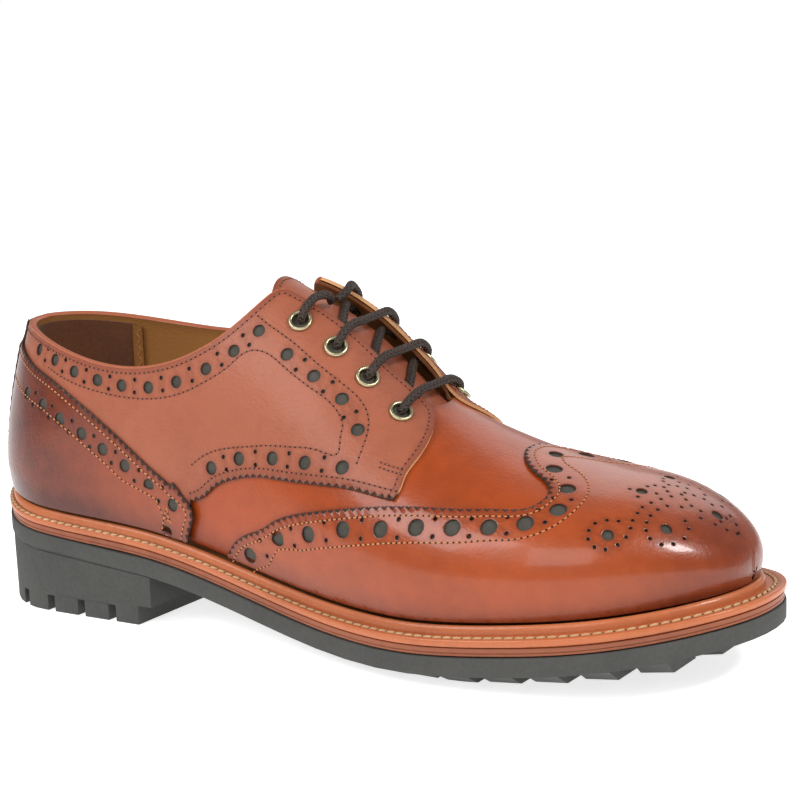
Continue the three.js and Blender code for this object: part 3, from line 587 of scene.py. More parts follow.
@dataclass
class Panel:
    """A piece cut from a flat pattern, punched, and laid on the last with its thickness."""
    name: str
    pattern: Pattern
    outline: Array
    low: float
    top: float
    punches: Sequence[Punch] = ()
    pace: float = 2.4
    roll: float = 0.22
    longest_side: float = 0.022
    lifted: bool = True
    tone: Callable[[Array, Array, Array], Array] | None = None
    rise: Callable[[Array, Array, Array], Array] | None = None
    pale: Callable[[Array, Array, Array], Array] | None = None

    def places(self) -> tuple[Array, list[Array]]:
        """Free points inside the outline and off the holes, and the loops of the holes."""
        p = self.pattern
        loops = [p.circle(np.array(h.centre), h.radius, h.corners) for h in self.punches]
        rings = [p.circle(np.array(h.centre), h.radius + 0.3, h.corners) for h in self.punches]
        inner = p.shift(self.outline, 0.4, closed=True)
        low, high = self.outline.min(0), self.outline.max(0)
        free = []
        for column, u in enumerate(np.arange(low[0] + self.pace / 2, high[0], self.pace)):
            w = np.linspace(low[1], high[1], 160)
            line = p.lay_on(np.stack([np.full(160, u), w], -1), 0.0)
            run = np.concatenate([[0], np.cumsum(np.linalg.norm(np.diff(line, axis=0), axis=1))])
            at = np.arange(self.pace * (0.25 + 0.5 * (column % 2)), run[-1], self.pace)
            free.append(np.stack([np.full(len(at), u), np.interp(at, run, w)], -1))
        free = np.concatenate(free)
        loop = p.spread_out(self.outline)

        def within(points: Array, margin: float) -> Array:
            """The points inside the outline that are more than a margin off it."""
            plane = p.spread_out(points)
            return points[inside(loop, plane) & (distance_to(plane, loop) > margin)]

        free = np.concatenate([within(free, 0.45 * self.pace), within(inner, 0.12), *rings])
        if self.punches:
            centres = np.array([h.centre for h in self.punches])
            matrix = p.axes(centres)[2]
            reach = np.array([h.radius for h in self.punches]) + 0.25
            keep = np.ones(len(free), bool)
            for centre, m, r in zip(centres, matrix, reach):
                keep &= np.linalg.norm((free - centre) @ m.T, axis=1) > r
            free = free[keep]
        return free, loops

    def build(self, material: bpy.types.Material) -> bpy.types.Object:
        """Cuts, punches, lays and thickens the piece.

        Args:
            material: The finish.

        Returns:
            The finished object, with the marks rim, tone, pale and cut.
        """
        free, loops = self.places()
        borders = [self.outline, *loops]
        points, edges = np.concatenate([*borders, free]), []
        owner = np.full(len(points), -1)
        start = 0
        for number, border in enumerate(borders):
            count = len(border)
            edges += [(start + i, start + (i + 1) % count) for i in range(count)]
            owner[start:start + count] = number
            start += count
        plane = self.pattern.spread_out(points)
        _, _, faces, origin, _, _ = delaunay_2d_cdt(
            [Vector(p) for p in plane], edges, [], 1, 1e-6)
        first = [o[0] if o else 0 for o in origin]
        flat, owners = points[first], owner[first]
        kept = [f for f in faces
                if not (owners[f[0]] > 0 and all(owners[i] == owners[f[0]] for i in f))]
        x, t, side = self.pattern.place(flat)
        bump = self.rise(x, t, side) if self.rise else np.zeros(len(flat))
        edge = owners >= 0
        drop = self.roll * np.where(owners > 0, 0.6, 1.0) * edge
        top = metres(self.pattern.lay_on(flat, self.top + bump - drop, self.lifted))
        low = metres(self.pattern.lay_on(flat, self.low + bump, self.lifted))
        # Painted shade: rim darkens the leather towards its outline and round each hole.
        rim = np.clip(1 - distance_to(plane[first], self.pattern.spread_out(self.outline)) / 3.0,
                      0, 1)
        for punch in self.punches:
            m = self.pattern.axes(np.array([punch.centre]))[2][0]
            near = np.linalg.norm((flat - punch.centre) @ m.T, axis=1) - punch.radius
            rim = np.maximum(rim, 0.8 * np.clip(1 - near / 1.2, 0, 1))
        tone = self.tone(x, t, side) if self.tone else np.zeros(len(flat))
        pale = self.pale(x, t, side) if self.pale else np.zeros(len(flat))
        pale = pale * (owners <= 0)
        normals = self.pattern.last.normal(x, t, side) * (1 - edge[:, None])
        longest = np.array([max(np.linalg.norm(top[a] - top[b]) for a, b in zip(f, f[1:] + f[:1]))
                            for f in kept])
        kept = [f for f, long in zip(kept, longest) if long < self.longest_side]
        return self.thicken(kept, top, low, (rim, tone, pale), normals, material)

    def thicken(self, faces: list, top: Array, low: Array, marks: Sequence[Array],
                normals: Array, material: bpy.types.Material) -> bpy.types.Object:
        """Gives the laid sheet its underside, its cut edges and the last's own shading."""
        bm = bmesh.new()
        number = bm.verts.layers.int.new("number")
        lean = bm.verts.layers.float_vector.new("lean")
        marks = [(layer_of(bm, "verts", name), value)
                 for name, value in zip(("rim", "tone", "pale"), marks)]
        cut = layer_of(bm, "faces", "cut")
        used = sorted({i for f in faces for i in f})
        corner = {}
        for i in used:
            corner[i] = bm.verts.new(top[i])
            corner[i][number] = i
            corner[i][lean] = normals[i]
            for layer, value in marks:
                corner[i][layer] = float(value[i])
        sheet = [bm.faces.new([corner[i] for i in f]) for f in faces]
        result = bmesh.ops.extrude_face_region(bm, geom=sheet)
        lower = {v for v in result["geom"] if isinstance(v, bmesh.types.BMVert)}
        for vert in lower:
            vert.co = low[vert[number]]
            vert[lean] = -vert[lean]
        for face in bm.faces:
            mixed = {v in lower for v in face.verts}
            face[cut] = float(len(mixed) == 2)
        for edge in bm.edges:
            edge.smooth = len({f[cut] for f in edge.link_faces}) == 1
        bm.verts.layers.int.remove(number)
        piece = finish_mesh(self.name, bm, material, None)
        mesh = piece.data
        lean_of = np.zeros(len(mesh.vertices) * 3)
        mesh.attributes["lean"].data.foreach_get("vector", lean_of)
        cut_of = np.zeros(len(mesh.polygons))
        mesh.attributes["cut"].data.foreach_get("value", cut_of)
        corners = np.zeros(len(mesh.loops), int)
        mesh.loops.foreach_get("vertex_index", corners)
        sizes = np.zeros(len(mesh.polygons), int)
        mesh.polygons.foreach_get("loop_total", sizes)
        shading = lean_of.reshape(-1, 3)[corners] * (1 - np.repeat(cut_of, sizes))[:, None]
        mesh.normals_split_custom_set(shading.tolist())
        mesh.attributes.remove(mesh.attributes["lean"])
        return piece


@dataclass
class Seam:
    """A row of stitches along a path in a pattern."""
    pattern: Pattern
    path: Array
    level: float
    pitch: float = 2.0
    length: float = 1.3
    width: float = 0.6
    lifted: bool = True

    def needle_holes(self) -> Array:
        """A matrix for each needle hole, between the stitches."""
        p = self.pattern
        at = p.pace(self.path, self.pitch, True)
        x, t, side = p.place(at)
        up = p.last.normal(x, t, side)
        run = unit(np.cross(up, np.array([0.2, 0.3, 1.0])))
        place = p.lay_on(at, self.level - 0.08, self.lifted)
        return np.stack([run * 0.42, np.cross(up, run) * 0.42, up * 0.12, place], -1)

    def frames(self) -> Array:
        """A matrix for each stitch."""
        p = self.pattern
        at = p.pace(self.path, self.pitch, False)
        ahead = p.pace(self.path, self.pitch, True)
        place = p.lay_on(at, self.level, self.lifted)
        x, t, side = p.place(at)
        up = p.last.normal(x, t, side)
        ends = p.lay_on(ahead, self.level, self.lifted)
        run = unit(np.diff(ends, axis=0))
        across = np.cross(up, run)
        return np.stack([run * self.length / 2, across * self.width / 2,
                         up * self.width * 0.36, place], -1)


def ball(around: int, along: int) -> bmesh.types.BMesh:
    """A ball of radius one, to be stamped."""
    bm = bmesh.new()
    bmesh.ops.create_uvsphere(bm, u_segments=around, v_segments=along, radius=1.0)
    return bm


def grain(around: int, along: int) -> bmesh.types.BMesh:
    """A ball of radius one whose poles lie along the first axis."""
    bm = ball(around, along)
    bmesh.ops.rotate(bm, verts=bm.verts, cent=(0, 0, 0),
                     matrix=Matrix.Rotation(math.pi / 2, 3, "Y"))
    return bm


def sew(name: str, seams: Sequence[Seam], thread: bpy.types.Material,
        needle: bpy.types.Material | None) -> None:
    """All the stitches of some seams in one piece, and their needle holes, as near-black dots of
    painted shade, in another.
    """
    fit(stamp(name, grain(8, 5), np.concatenate([s.frames() for s in seams]), thread), "thread")
    if needle is None:
        return
    holes = np.concatenate([s.needle_holes() for s in seams])
    fit(stamp(f"{name}_holes", ball(6, 4), holes, needle), "thread")


# Finishes

def node(tree: bpy.types.NodeTree, kind: str, inputs: dict | None = None,
         **settings: object) -> bpy.types.Node:
    """Adds a node, sets it, and fills its inputs with values or links."""
    made = tree.nodes.new(kind)
    for key, value in settings.items():
        setattr(made, key, value)
    for key, value in (inputs or {}).items():
        socket = made.inputs[key]
        if isinstance(value, bpy.types.NodeSocket):
            tree.links.new(value, socket)
        else:
            socket.default_value = value
    return made


def maths(tree: bpy.types.NodeTree, operation: str, *values: object) -> bpy.types.NodeSocket:
    """The result of a Math node."""
    made = node(tree, "ShaderNodeMath", dict(enumerate(values)), operation=operation)
    return made.outputs[0]


def mix(tree: bpy.types.NodeTree, share: object, a: object, b: object) -> bpy.types.NodeSocket:
    """The result of mixing two colours."""
    return node(tree, "ShaderNodeMix", {0: share, 6: a, 7: b}, data_type="RGBA").outputs[2]


def linear(colour: str) -> tuple[float, float, float, float]:
    """A colour written as rrggbb in the shader's own scale."""
    parts = [int(colour[i:i + 2], 16) / 255 for i in (0, 2, 4)]
    parts = [p / 12.92 if p <= 0.04045 else ((p + 0.055) / 1.055) ** 2.4 for p in parts]
    return (*parts, 1.0)


def group(name: str, inputs: Sequence[tuple[str, str, object]],
          outputs: Sequence[tuple[str, str]]) -> tuple[bpy.types.NodeTree, dict, bpy.types.Node]:
    """A new shader node group.

    Args:
        name: The group's name.
        inputs: Name, kind and default of each input.
        outputs: Name and kind of each output.

    Returns:
        The tree, its inputs' sockets by name, and its output node.
    """
    tree = bpy.data.node_groups.new(name, "ShaderNodeTree")
    for label, kind, value in inputs:
        socket = tree.interface.new_socket(label, in_out="INPUT", socket_type="NodeSocket" + kind)
        if value is not None:
            socket.default_value = value
    for label, kind in outputs:
        tree.interface.new_socket(label, in_out="OUTPUT", socket_type="NodeSocket" + kind)
    start, end = tree.nodes.new("NodeGroupInput"), tree.nodes.new("NodeGroupOutput")
    return tree, {label: start.outputs[label] for label, _, _ in inputs}, end


def grain_group() -> bpy.types.NodeTree:
    """Fine leather grain: pebbles, pores and soft creases as a height."""
    tree, given, end = group(
        "leather_grain", [("Vector", "Vector", None), ("Scale", "Float", 900.0)],
        [("Height", "Float")])
    place, scale = given["Vector"], given["Scale"]
    pebble = node(tree, "ShaderNodeTexVoronoi", {"Vector": place, "Scale": scale},
                  feature="SMOOTH_F1")
    pore = node(tree, "ShaderNodeTexNoise", {
        "Vector": place, "Scale": maths(tree, "MULTIPLY", scale, 1.7), "Detail": 3.0})
    crease = node(tree, "ShaderNodeTexNoise", {
        "Vector": place, "Scale": maths(tree, "MULTIPLY", scale, 0.12), "Detail": 3.0,
        "Distortion": 0.6})
    total = maths(tree, "ADD", maths(tree, "MULTIPLY", pebble.outputs["Distance"], 0.55),
                  maths(tree, "MULTIPLY", pore.outputs[0], 0.5))
    total = maths(tree, "ADD", total, maths(tree, "MULTIPLY", crease.outputs[0], 1.1))
    tree.links.new(total, end.inputs["Height"])
    return tree


def mottle_group() -> bpy.types.NodeTree:
    """Uneven dye: two sizes of cloud between a light and a deep colour."""
    tree, given, end = group(
        "uneven_dye", [("Vector", "Vector", None), ("Scale", "Float", 30.0),
                       ("Light", "Color", (1, 1, 1, 1)), ("Deep", "Color", (0, 0, 0, 1)),
                       ("Tone", "Float", 0.0), ("Strength", "Float", 0.5)], [("Color", "Color")])
    clouds = [node(tree, "ShaderNodeTexNoise",
                   {"Vector": given["Vector"], "Detail": 4.0,
                    "Scale": maths(tree, "MULTIPLY", given["Scale"], times)}).outputs[0]
              for times in (1.0, 7.0)]
    both = maths(tree, "ADD", maths(tree, "MULTIPLY", clouds[0], 0.65),
                 maths(tree, "MULTIPLY", clouds[1], 0.35))
    swing = maths(tree, "MULTIPLY", maths(tree, "SUBTRACT", both, 0.5),
                  maths(tree, "MULTIPLY", given["Strength"], 3.0))
    share = maths(tree, "ADD", swing, given["Tone"])
    clamped = node(tree, "ShaderNodeClamp", {"Value": share})
    tree.links.new(mix(tree, clamped.outputs[0], given["Light"], given["Deep"]),
                   end.inputs["Color"])
    return tree


class Shared(Enum):
    """Node groups that several finishes use."""
    GRAIN = "leather_grain"
    DYE = "uneven_dye"

    def tree(self) -> bpy.types.NodeTree:
        """The group, built once."""
        if self.value not in bpy.data.node_groups:
            {Shared.GRAIN: grain_group, Shared.DYE: mottle_group}[self]()
        return bpy.data.node_groups[self.value]


def start_material(name: str) -> tuple[bpy.types.Material, bpy.types.NodeTree, bpy.types.Node,
                                       bpy.types.NodeSocket]:
    """A new material with its tree, its main shader and its object coordinates."""
    material = bpy.data.materials.new(name)
    material.use_nodes = True
    tree = material.node_tree
    shader = tree.nodes["Principled BSDF"]
    return material, tree, shader, node(tree, "ShaderNodeTexCoord").outputs["Object"]


def mark(tree: bpy.types.NodeTree, name: str) -> bpy.types.NodeSocket:
    """A number kept on the mesh."""
    return node(tree, "ShaderNodeAttribute", attribute_name=name).outputs["Fac"]


def bump(tree: bpy.types.NodeTree, shader: bpy.types.Node, height: object, distance: float,
         strength: float = 1.0) -> None:
    """Raises the surface by a height, in metres."""
    made = node(tree, "ShaderNodeBump", {"Height": height, "Distance": distance,
                                         "Strength": strength})
    tree.links.new(made.outputs[0], shader.inputs["Normal"])


@dataclass(frozen=True)
class Leather:
    """A dyed and polished leather."""
    name: str
    light: str
    deep: str
    cut: str = "46332a"
    fold: str = "cf9c6c"
    strength: float = 0.35
    roughness: float = 0.36
    coat: float = 0.25
    grain: float = 900.0
    depth: float = 0.00012

    def make(self) -> bpy.types.Material:
        """Builds the material."""
        material, tree, shader, place = start_material(self.name)
        dye = node(tree, "ShaderNodeGroup", node_tree=Shared.DYE.tree())
        grain = node(tree, "ShaderNodeGroup", node_tree=Shared.GRAIN.tree())
        tree.links.new(place, dye.inputs["Vector"])
        tree.links.new(place, grain.inputs["Vector"])
        for key, value in (("Scale", 28.0), ("Light", linear(self.light)),
                           ("Deep", linear(self.deep)), ("Strength", self.strength)):
            dye.inputs[key].default_value = value
        # The tone mark deepens the dye; from Uppers.tone it carries painted shade at the heel and by
        # the welt.
        tree.links.new(mark(tree, "tone"), dye.inputs["Tone"])
        grain.inputs["Scale"].default_value = self.grain
        # Painted shade: the rim mark draws the dye towards the deep colour at the outline and round
        # the holes.
        rim = mark(tree, "rim")
        shade = mix(tree, maths(tree, "MULTIPLY", rim, 0.5), dye.outputs[0], linear(self.deep))
        edge = mix(tree, mark(tree, "pale"), linear(self.cut), linear(self.fold))
        colour = mix(tree, mark(tree, "cut"), shade, edge)
        tree.links.new(colour, shader.inputs["Base Color"])
        rough = maths(tree, "ADD", maths(tree, "MULTIPLY", grain.outputs[0], 0.10),
                      self.roughness - 0.09)
        rough = maths(tree, "ADD", rough, maths(tree, "MULTIPLY", mark(tree, "cut"), 0.45))
        tree.links.new(rough, shader.inputs["Roughness"])
        shader.inputs["Coat Weight"].default_value = self.coat
        shader.inputs["Coat Roughness"].default_value = 0.13
        shader.inputs["Specular IOR Level"].default_value = 0.28
        bump(tree, shader, grain.outputs[0], self.depth)
        return material


@dataclass(frozen=True)
class Matt:
    """A dull finish with two tones and a fine texture: rubber, suede, thread or braid."""
    name: str
    light: str
    deep: str
    roughness: float = 0.8
    scale: float = 400.0
    depth: float = 0.0001
    strength: float = 0.5
    sheen: float = 0.0

    def make(self) -> bpy.types.Material:
        """Builds the material."""
        material, tree, shader, place = start_material(self.name)
        fine = node(tree, "ShaderNodeTexNoise",
                    {"Vector": place, "Scale": self.scale, "Detail": 4.0}).outputs[0]
        dye = node(tree, "ShaderNodeGroup", node_tree=Shared.DYE.tree())
        tree.links.new(place, dye.inputs["Vector"])
        for key, value in (("Scale", 60.0), ("Light", linear(self.light)),
                           ("Deep", linear(self.deep)), ("Strength", self.strength), ("Tone", 0.4)):
            dye.inputs[key].default_value = value
        tree.links.new(mix(tree, 0.35, dye.outputs[0], mix(
            tree, fine, linear(self.light), linear(self.deep))), shader.inputs["Base Color"])
        tree.links.new(maths(tree, "ADD", maths(tree, "MULTIPLY", fine, 0.2),
                             self.roughness - 0.1), shader.inputs["Roughness"])
        shader.inputs["Sheen Weight"].default_value = self.sheen
        bump(tree, shader, fine, self.depth)
        return material


@dataclass(frozen=True)
class Brass:
    """Dull, worn brass."""
    name: str
    light: str
    deep: str

    def make(self) -> bpy.types.Material:
        """Builds the material."""
        material, tree, shader, place = start_material(self.name)
        tarnish = node(tree, "ShaderNodeTexNoise",
                       {"Vector": place, "Scale": 500.0, "Detail": 5.0}).outputs[0]
        tree.links.new(mix(tree, tarnish, linear(self.light), linear(self.deep)),
                       shader.inputs["Base Color"])
        tree.links.new(maths(tree, "ADD", maths(tree, "MULTIPLY", tarnish, 0.25), 0.22),
                       shader.inputs["Roughness"])
        shader.inputs["Metallic"].default_value = 1.0
        bump(tree, shader, tarnish, 0.00005)
        return material


@dataclass(frozen=True)
class Finishes:
    """Every finish of the shoe."""
    vamp: Leather = Leather("vamp_calf", "983f14", "4c1403", roughness=0.34, coat=0.2)
    overlay: Leather = Leather("overlay_calf", "984219", "4a1303", roughness=0.33, coat=0.35)
    quarter: Leather = Leather("quarter_calf", "96543c", "5e2616", roughness=0.42, coat=0.04,
                               depth=0.00022)
    lining: Leather = Leather("lining_calf", "a4703c", "7c5228", "6a3c22", roughness=0.6, coat=0.0)
    binding: Leather = Leather("binding_calf", "a0583a", "6c321c", roughness=0.45, coat=0.1)
    sock: Leather = Leather("sock_leather", "8a5c34", "5c3a1e", roughness=0.65, coat=0.0)
    welt: Leather = Leather("welt_leather", "b0623a", "6c2c16", roughness=0.42, strength=0.5)
    midsole: Leather = Leather("midsole_leather", "8a4e34", "4e2618", roughness=0.5, coat=0.1,
                               strength=0.6)
    rubber: Matt = Matt("charcoal_rubber", "464643", "2e2e2c", scale=900.0)
    backing: Matt = Matt("dark_backing", "4e4b43", "282520", roughness=0.9, scale=2400.0)
    suede: Matt = Matt("brown_suede", "7a4828", "482612", roughness=0.95, sheen=0.1, scale=900.0)
    thread_dark: Matt = Matt("brown_thread", "94533a", "6a3220", roughness=0.6, scale=2500.0)
    thread_light: Matt = Matt("orange_thread", "cc8650", "96552e", roughness=0.6, scale=2500.0)
    thread_cream: Matt = Matt("cream_thread", "cfae84", "94704a", roughness=0.7, scale=2500.0)
    # Painted shade: near-black dots that stand in for the shade inside needle holes.
    needle: Matt = Matt("needle_holes", "1c0f0a", "0c0604", roughness=0.9)
    fray: Matt = Matt("pinked_fibre", "423029", "140b08", roughness=0.9, scale=1800.0, strength=1.0,
                      depth=0.0004)
    braid: Matt = Matt("dark_braid", "3c2b22", "170e0a", roughness=0.6, scale=2500.0)
    brass: Brass = Brass("antique_brass", "d2c8a4", "8c8260")

    def make(self) -> dict[str, bpy.types.Material]:
        """All the materials, by their field's name."""
        return {key: getattr(self, key).make() for key in self.__dataclass_fields__}


# The shoe

def pinked(pattern: Pattern, path: Array, pitch: float = 2.9, depth: float = 0.62) -> Array:
    """A path cut into teeth by pinking shears."""
    even = pattern.pace(path, pitch / 2)
    wave = depth * np.where(np.arange(len(even)) % 2, 1.0, -1.0)
    wave[0] = wave[-1] = 0
    return pattern.shift(even, wave)


EYELET_ROWS = (0.4765, 0.5245, 0.5665, 0.612)   # shares of the last's length
EYELET_SHARE = 0.775                            # share of the section

# Lines and holes on the outer side: station and share of the section.
COUNTER_EDGE = ((0, .405), (14, .395), (25.7, .381), (36.5, .371), (45.4, .357), (55.3, .334),
                (64.3, .309), (75.2, .276), (85.9, .243), (94.5, .220), (101.8, .171))
COUNTER_FRONT = ((101.8, .171), (100.4, .10), (97.7, .014))
QUARTER_LOW = ((97.7, .014), (101.4, .167), (104.1, .224), (107.9, .237), (113.4, .270),
               (121.2, .305), (133.3, .342), (144.9, .365), (161.6, .411), (172.5, .451),
               (188.4, .495))
FACING_FRONT = ((188.4, .495), (189.4, .539), (189.2, .589), (189.9, .642), (190.1, .747),
                (189.8, .766), (186.9, .850), (184.0, .887), (178.9, .903))
WING_EDGE = ((117.6, .012), (120.0, .060), (124.2, .126), (131.0, .190), (140.3, .250),
             (156.5, .315), (171.3, .378), (188.7, .462), (202.1, .513), (214.0, .553),
             (224.0, .591), (229.0, .607), (233.4, .640), (235.4, .690), (235.8, .741),
             (231.4, .808), (224.5, .850), (219.5, .900), (216.5, .950), (215.8, 1.0))
WING_HOLES = ((129.1, .079), (143.1, .220), (157.1, .268), (171.8, .325), (186.6, .379),
              (199.4, .429), (211.6, .467), (223.3, .504), (234.1, .555), (241.7, .655),
              (239.4, .786), (229.8, .888))
COLLAR_HOLES = ((24.4, .428), (36.8, .420), (49.1, .408), (61.2, .402), (72.7, .402),
                (84.9, .414), (96.8, .449), (108.6, .510), (118.4, .588), (125.7, .676))
FACING_HOLES = ((138.1, .658), (149.4, .649), (160.5, .652), (168.7, .612))
QUARTER_HOLES = ((167.6, .485), (153.4, .431), (140.0, .398), (125.5, .359), (113.3, .309))
COUNTER_HOLES = ((24.5, .340), (35.6, .331), (45.4, .314), (55.7, .295),
                 (65.3, .273), (75.0, .250), (85.4, .224), (95.8, .175))
INNER_SEAM = ((34.0, .401), (43.6, .391), (58.9, .381), (72.6, .380), (86.0, .393), (98.8, .429),
              (108.9, .482), (118.0, .551), (124.5, .612), (131.5, .630), (138.1, .622),
              (150.8, .614), (161.1, .609), (163.4, .594), (164.1, .562), (164.7, .506),
              (158.5, .483), (147.5, .448), (138.6, .423), (130.2, .398), (119.4, .365),
              (110.6, .330), (104.7, .297))
EYELET_SEAM = ((123.8, .714), (130.4, .706), (138.2, .700), (149.5, .687), (159.2, .691),
               (168.0, .686), (170.5, .663), (172.0, .620), (172.3, .570), (172.2, .525))


MEDALLION_BIG = ((259.1, .539), (272.1, .657), (259.4, .884))
MEDALLION_SMALL = (
    (254.4, .603), (257.1, .631), (260.2, .637), (263.5, .660), (253.6, .557), (254.3, .506),
    (256.6, .460), (259.6, .448), (262.4, .483), (263.8, .539), (264.0, .604),
    (263.5, .717), (263.5, .767), (264.5, .818), (265.7, .872), (267.0, .927), (264.8, .956),
    (262.8, .979), (260.4, .965), (267.1, .667), (266.9, .724), (267.4, .784), (268.6, .838),
    (271.6, .879), (273.0, .932), (270.5, .960), (268.3, .984), (267.9, .608), (269.5, .555),
    (272.4, .525), (274.9, .549), (276.7, .621), (276.5, .722), (274.8, .778), (277.0, .869),
    (275.6, .933), (280.4, .960), (280.2, .893), (282.6, .925), (284.3, .985), (256.0, .875),
    (260.1, .833), (259.2, .936), (263.3, .902))


def row_between(pattern: Pattern, holes: Sequence[Punch], radius: float,
                spread: float) -> list[Punch]:
    """Pairs of small holes across a row, midway between its big ones."""
    pairs = []
    for a, b in zip(holes, holes[1:]):
        middle = (np.array(a.centre) + b.centre) / 2
        matrix = pattern.axes(middle[None])[2][0]
        run = matrix @ (np.array(b.centre) - a.centre)
        if np.linalg.norm(run) > 26:
            continue
        across = np.array([-run[1], run[0]]) / np.linalg.norm(run)
        for way in (1, -1):
            centre = middle + np.linalg.solve(matrix, across * way * spread)
            pairs.append(Punch(tuple(centre), radius, 8))
    return pairs


@dataclass
class Uppers:
    """The leather that the foot sees from outside, and what is sewn on it."""
    last: Last
    paint: dict[str, bpy.types.Material]
    overlay_low: float = 0.35
    overlay_top: float = 1.6
    counter_low: float = 1.65
    counter_top: float = 2.7
    small: float = 0.78
    toe_leap: float = 150.0
    toe_turn: float = 28.0
    vamp_edge: tuple[tuple[float, float], ...] = (
        (94, 0.0), (98, .12), (104, .25), (125, .37), (150, .45), (170, .58), (177, .74),
        (181, .88), (183, .96), (183.4, 1.0))
    round_heel: Pattern = field(init=False)
    over_foot: Pattern = field(init=False)
    light_rows: list[Seam] = field(default_factory=list)
    dark_rows: list[Seam] = field(default_factory=list)
    tape_rows: list[Seam] = field(default_factory=list)
    frays: list[Seam] = field(default_factory=list)

    def __post_init__(self) -> None:
        """Makes the two ways of laying."""
        self.round_heel = Pattern(self.last, Lay.ROUND_HEEL)
        self.over_foot = Pattern(self.last, Lay.OVER_FOOT)

    def tone(self, x: Array, t: Array, side: Array) -> Array:
        """Deeper at the toe, at the heel and down by the welt; at the heel and by the welt this is
        painted shade.
        """
        return (0.1 + 0.5 * ease(x, 256, 290) + 0.75 * (1 - ease(x, 25, 115))
                + 0.3 * (1 - ease(t, 0.02, 0.16)))

    def quarter_tone(self, x: Array, t: Array, side: Array) -> Array:
        """The quarters are the lightest leather."""
        return 0.06 + 0.3 * (1 - ease(x, 0, 24)) + 0.15 * ease(t, 0.7, 0.9)

    def line(self, pattern: Pattern, rows: Sequence[tuple[float, float]], side: float) -> Array:
        """A measured line as a smooth path in a pattern."""
        rows = np.array(rows)
        return pattern.walk(pattern.flat(rows[:, 0], rows[:, 1], side), 1.5)

    def holes(self, pattern: Pattern, rows: Sequence[tuple[float, float]], side: float,
              diameter: float) -> list[Punch]:
        """Big holes at measured places."""
        rows = np.array(rows)
        return [Punch(tuple(c), diameter / 2, 16)
                for c in pattern.flat(rows[:, 0], rows[:, 1], side)]

    def drawn_in(self, pattern: Pattern, outline: Array) -> Array:
        """An outline that keeps clear of the edges of the leather above it."""
        return pattern.shift(pattern.pace(np.concatenate([outline, outline[:1]]), 4.0)[:-1], 3.2,
                             closed=True)

    def backing(self, name: str, pattern: Pattern, outline: Array, level: float) -> None:
        """The dark layer that shows through the holes.

        Args:
            name: The piece's name.
            pattern: The way that it is laid.
            outline: Its closed outline in the pattern.
            level: Its upper face's level above the last.
        """
        panel = Panel(name, pattern, outline, level - 0.12, level, pace=3.0, roll=0.0)
        fit(panel.build(self.paint["backing"]), "lining_leather")

    def vamp(self) -> None:
        """The vamp, cut away at the throat."""
        p = self.over_foot
        near = self.line(p, self.vamp_edge, LATERAL)
        far = self.line(p, self.vamp_edge, MEDIAL)
        foot = self.foot_stations(94.0)
        outer, inner = p.flat(foot, 0.0, LATERAL), p.flat(foot, 0.0, MEDIAL)
        outline = np.concatenate([outer, inner[::-1], far[1:], near[::-1][1:-1]])
        panel = Panel("vamp", p, self.clean(outline), -1.0, 0.1, pace=2.6, tone=self.tone)
        fit(panel.build(self.paint["vamp"]), "upper_leather")

    def foot_stations(self, start: float) -> Array:
        """Stations along the feather line, closer together round the toe."""
        end = self.last.s.length
        turn = end - self.toe_turn
        return np.concatenate([np.arange(start, turn, 3.0),
                               end - self.toe_turn * (1 - np.linspace(0.05, 0.985, 22)) ** 2])

    def clean(self, outline: Array) -> Array:
        """A closed outline that runs anticlockwise, without doubled points or long sides."""
        keep = np.linalg.norm(outline - np.roll(outline, 1, 0), axis=1) > 0.05
        outline = outline[keep]
        x, y = outline.T
        area = np.sum(x * np.roll(y, -1) - np.roll(x, -1) * y)
        outline = outline if area > 0 else outline[::-1]
        parts = []
        for a, b in zip(outline, np.roll(outline, -1, 0)):
            long = float(np.linalg.norm(b - a))
            count = math.ceil(long / 3.2) if long < self.toe_leap else 1
            parts.append(a + (b - a) * np.arange(count)[:, None] / count)
        return np.concatenate(parts)

    def wing_cap(self) -> None:
        """The winged toe cap with its medallion."""
        p = self.over_foot
        near, far = self.line(p, WING_EDGE, LATERAL), self.line(p, WING_EDGE, MEDIAL)
        whole = np.concatenate([near, far[::-1][1:]])
        edge = pinked(p, whole)
        self.frays.append(self.fray(p, whole, self.overlay_top / 2 + 0.2))
        foot = self.foot_stations(119.0)
        outer, inner = p.flat(foot, 0.012, LATERAL), p.flat(foot, 0.012, MEDIAL)
        outline = self.clean(np.concatenate([outer, inner[::-1], edge[::-1]]))
        holes = []
        for side in (LATERAL, MEDIAL):
            big = self.holes(p, WING_HOLES, side, 5.6)
            holes += big + row_between(p, big, self.small, 2.9)
        tip = p.flat(np.array([224.5]), 1.0, LATERAL)[0]
        holes.append(Punch(tuple(tip), 2.6, 16))
        holes += self.medallion()
        panel = Panel("wing_cap_leather", p, outline, self.overlay_low, self.overlay_top, holes,
                      pace=2.2, tone=self.tone)
        fit(panel.build(self.paint["overlay"]), "upper_leather", "wing_cap", "upper")
        self.backing("wing_backing", p, self.drawn_in(p, outline), self.overlay_low + 0.3)
        for distance in (-2.6, -11.6):
            self.light_rows.append(Seam(p, p.shift(whole, distance), self.overlay_top + 0.05))

    def medallion(self) -> list[Punch]:
        """The punched pattern on the toe: rosettes joined by curved chains of small holes."""
        holes = [Punch(tuple(self.over_foot.flat(278.7, 1.0, LATERAL)), 2.0, 14)]
        for side in (LATERAL, MEDIAL):
            holes += self.holes(self.over_foot, MEDALLION_BIG, side, 3.7)
            small = np.array(MEDALLION_SMALL)
            holes += [Punch(tuple(c), 0.62, 8)
                      for c in self.over_foot.flat(small[:, 0], small[:, 1], side)]
        return holes

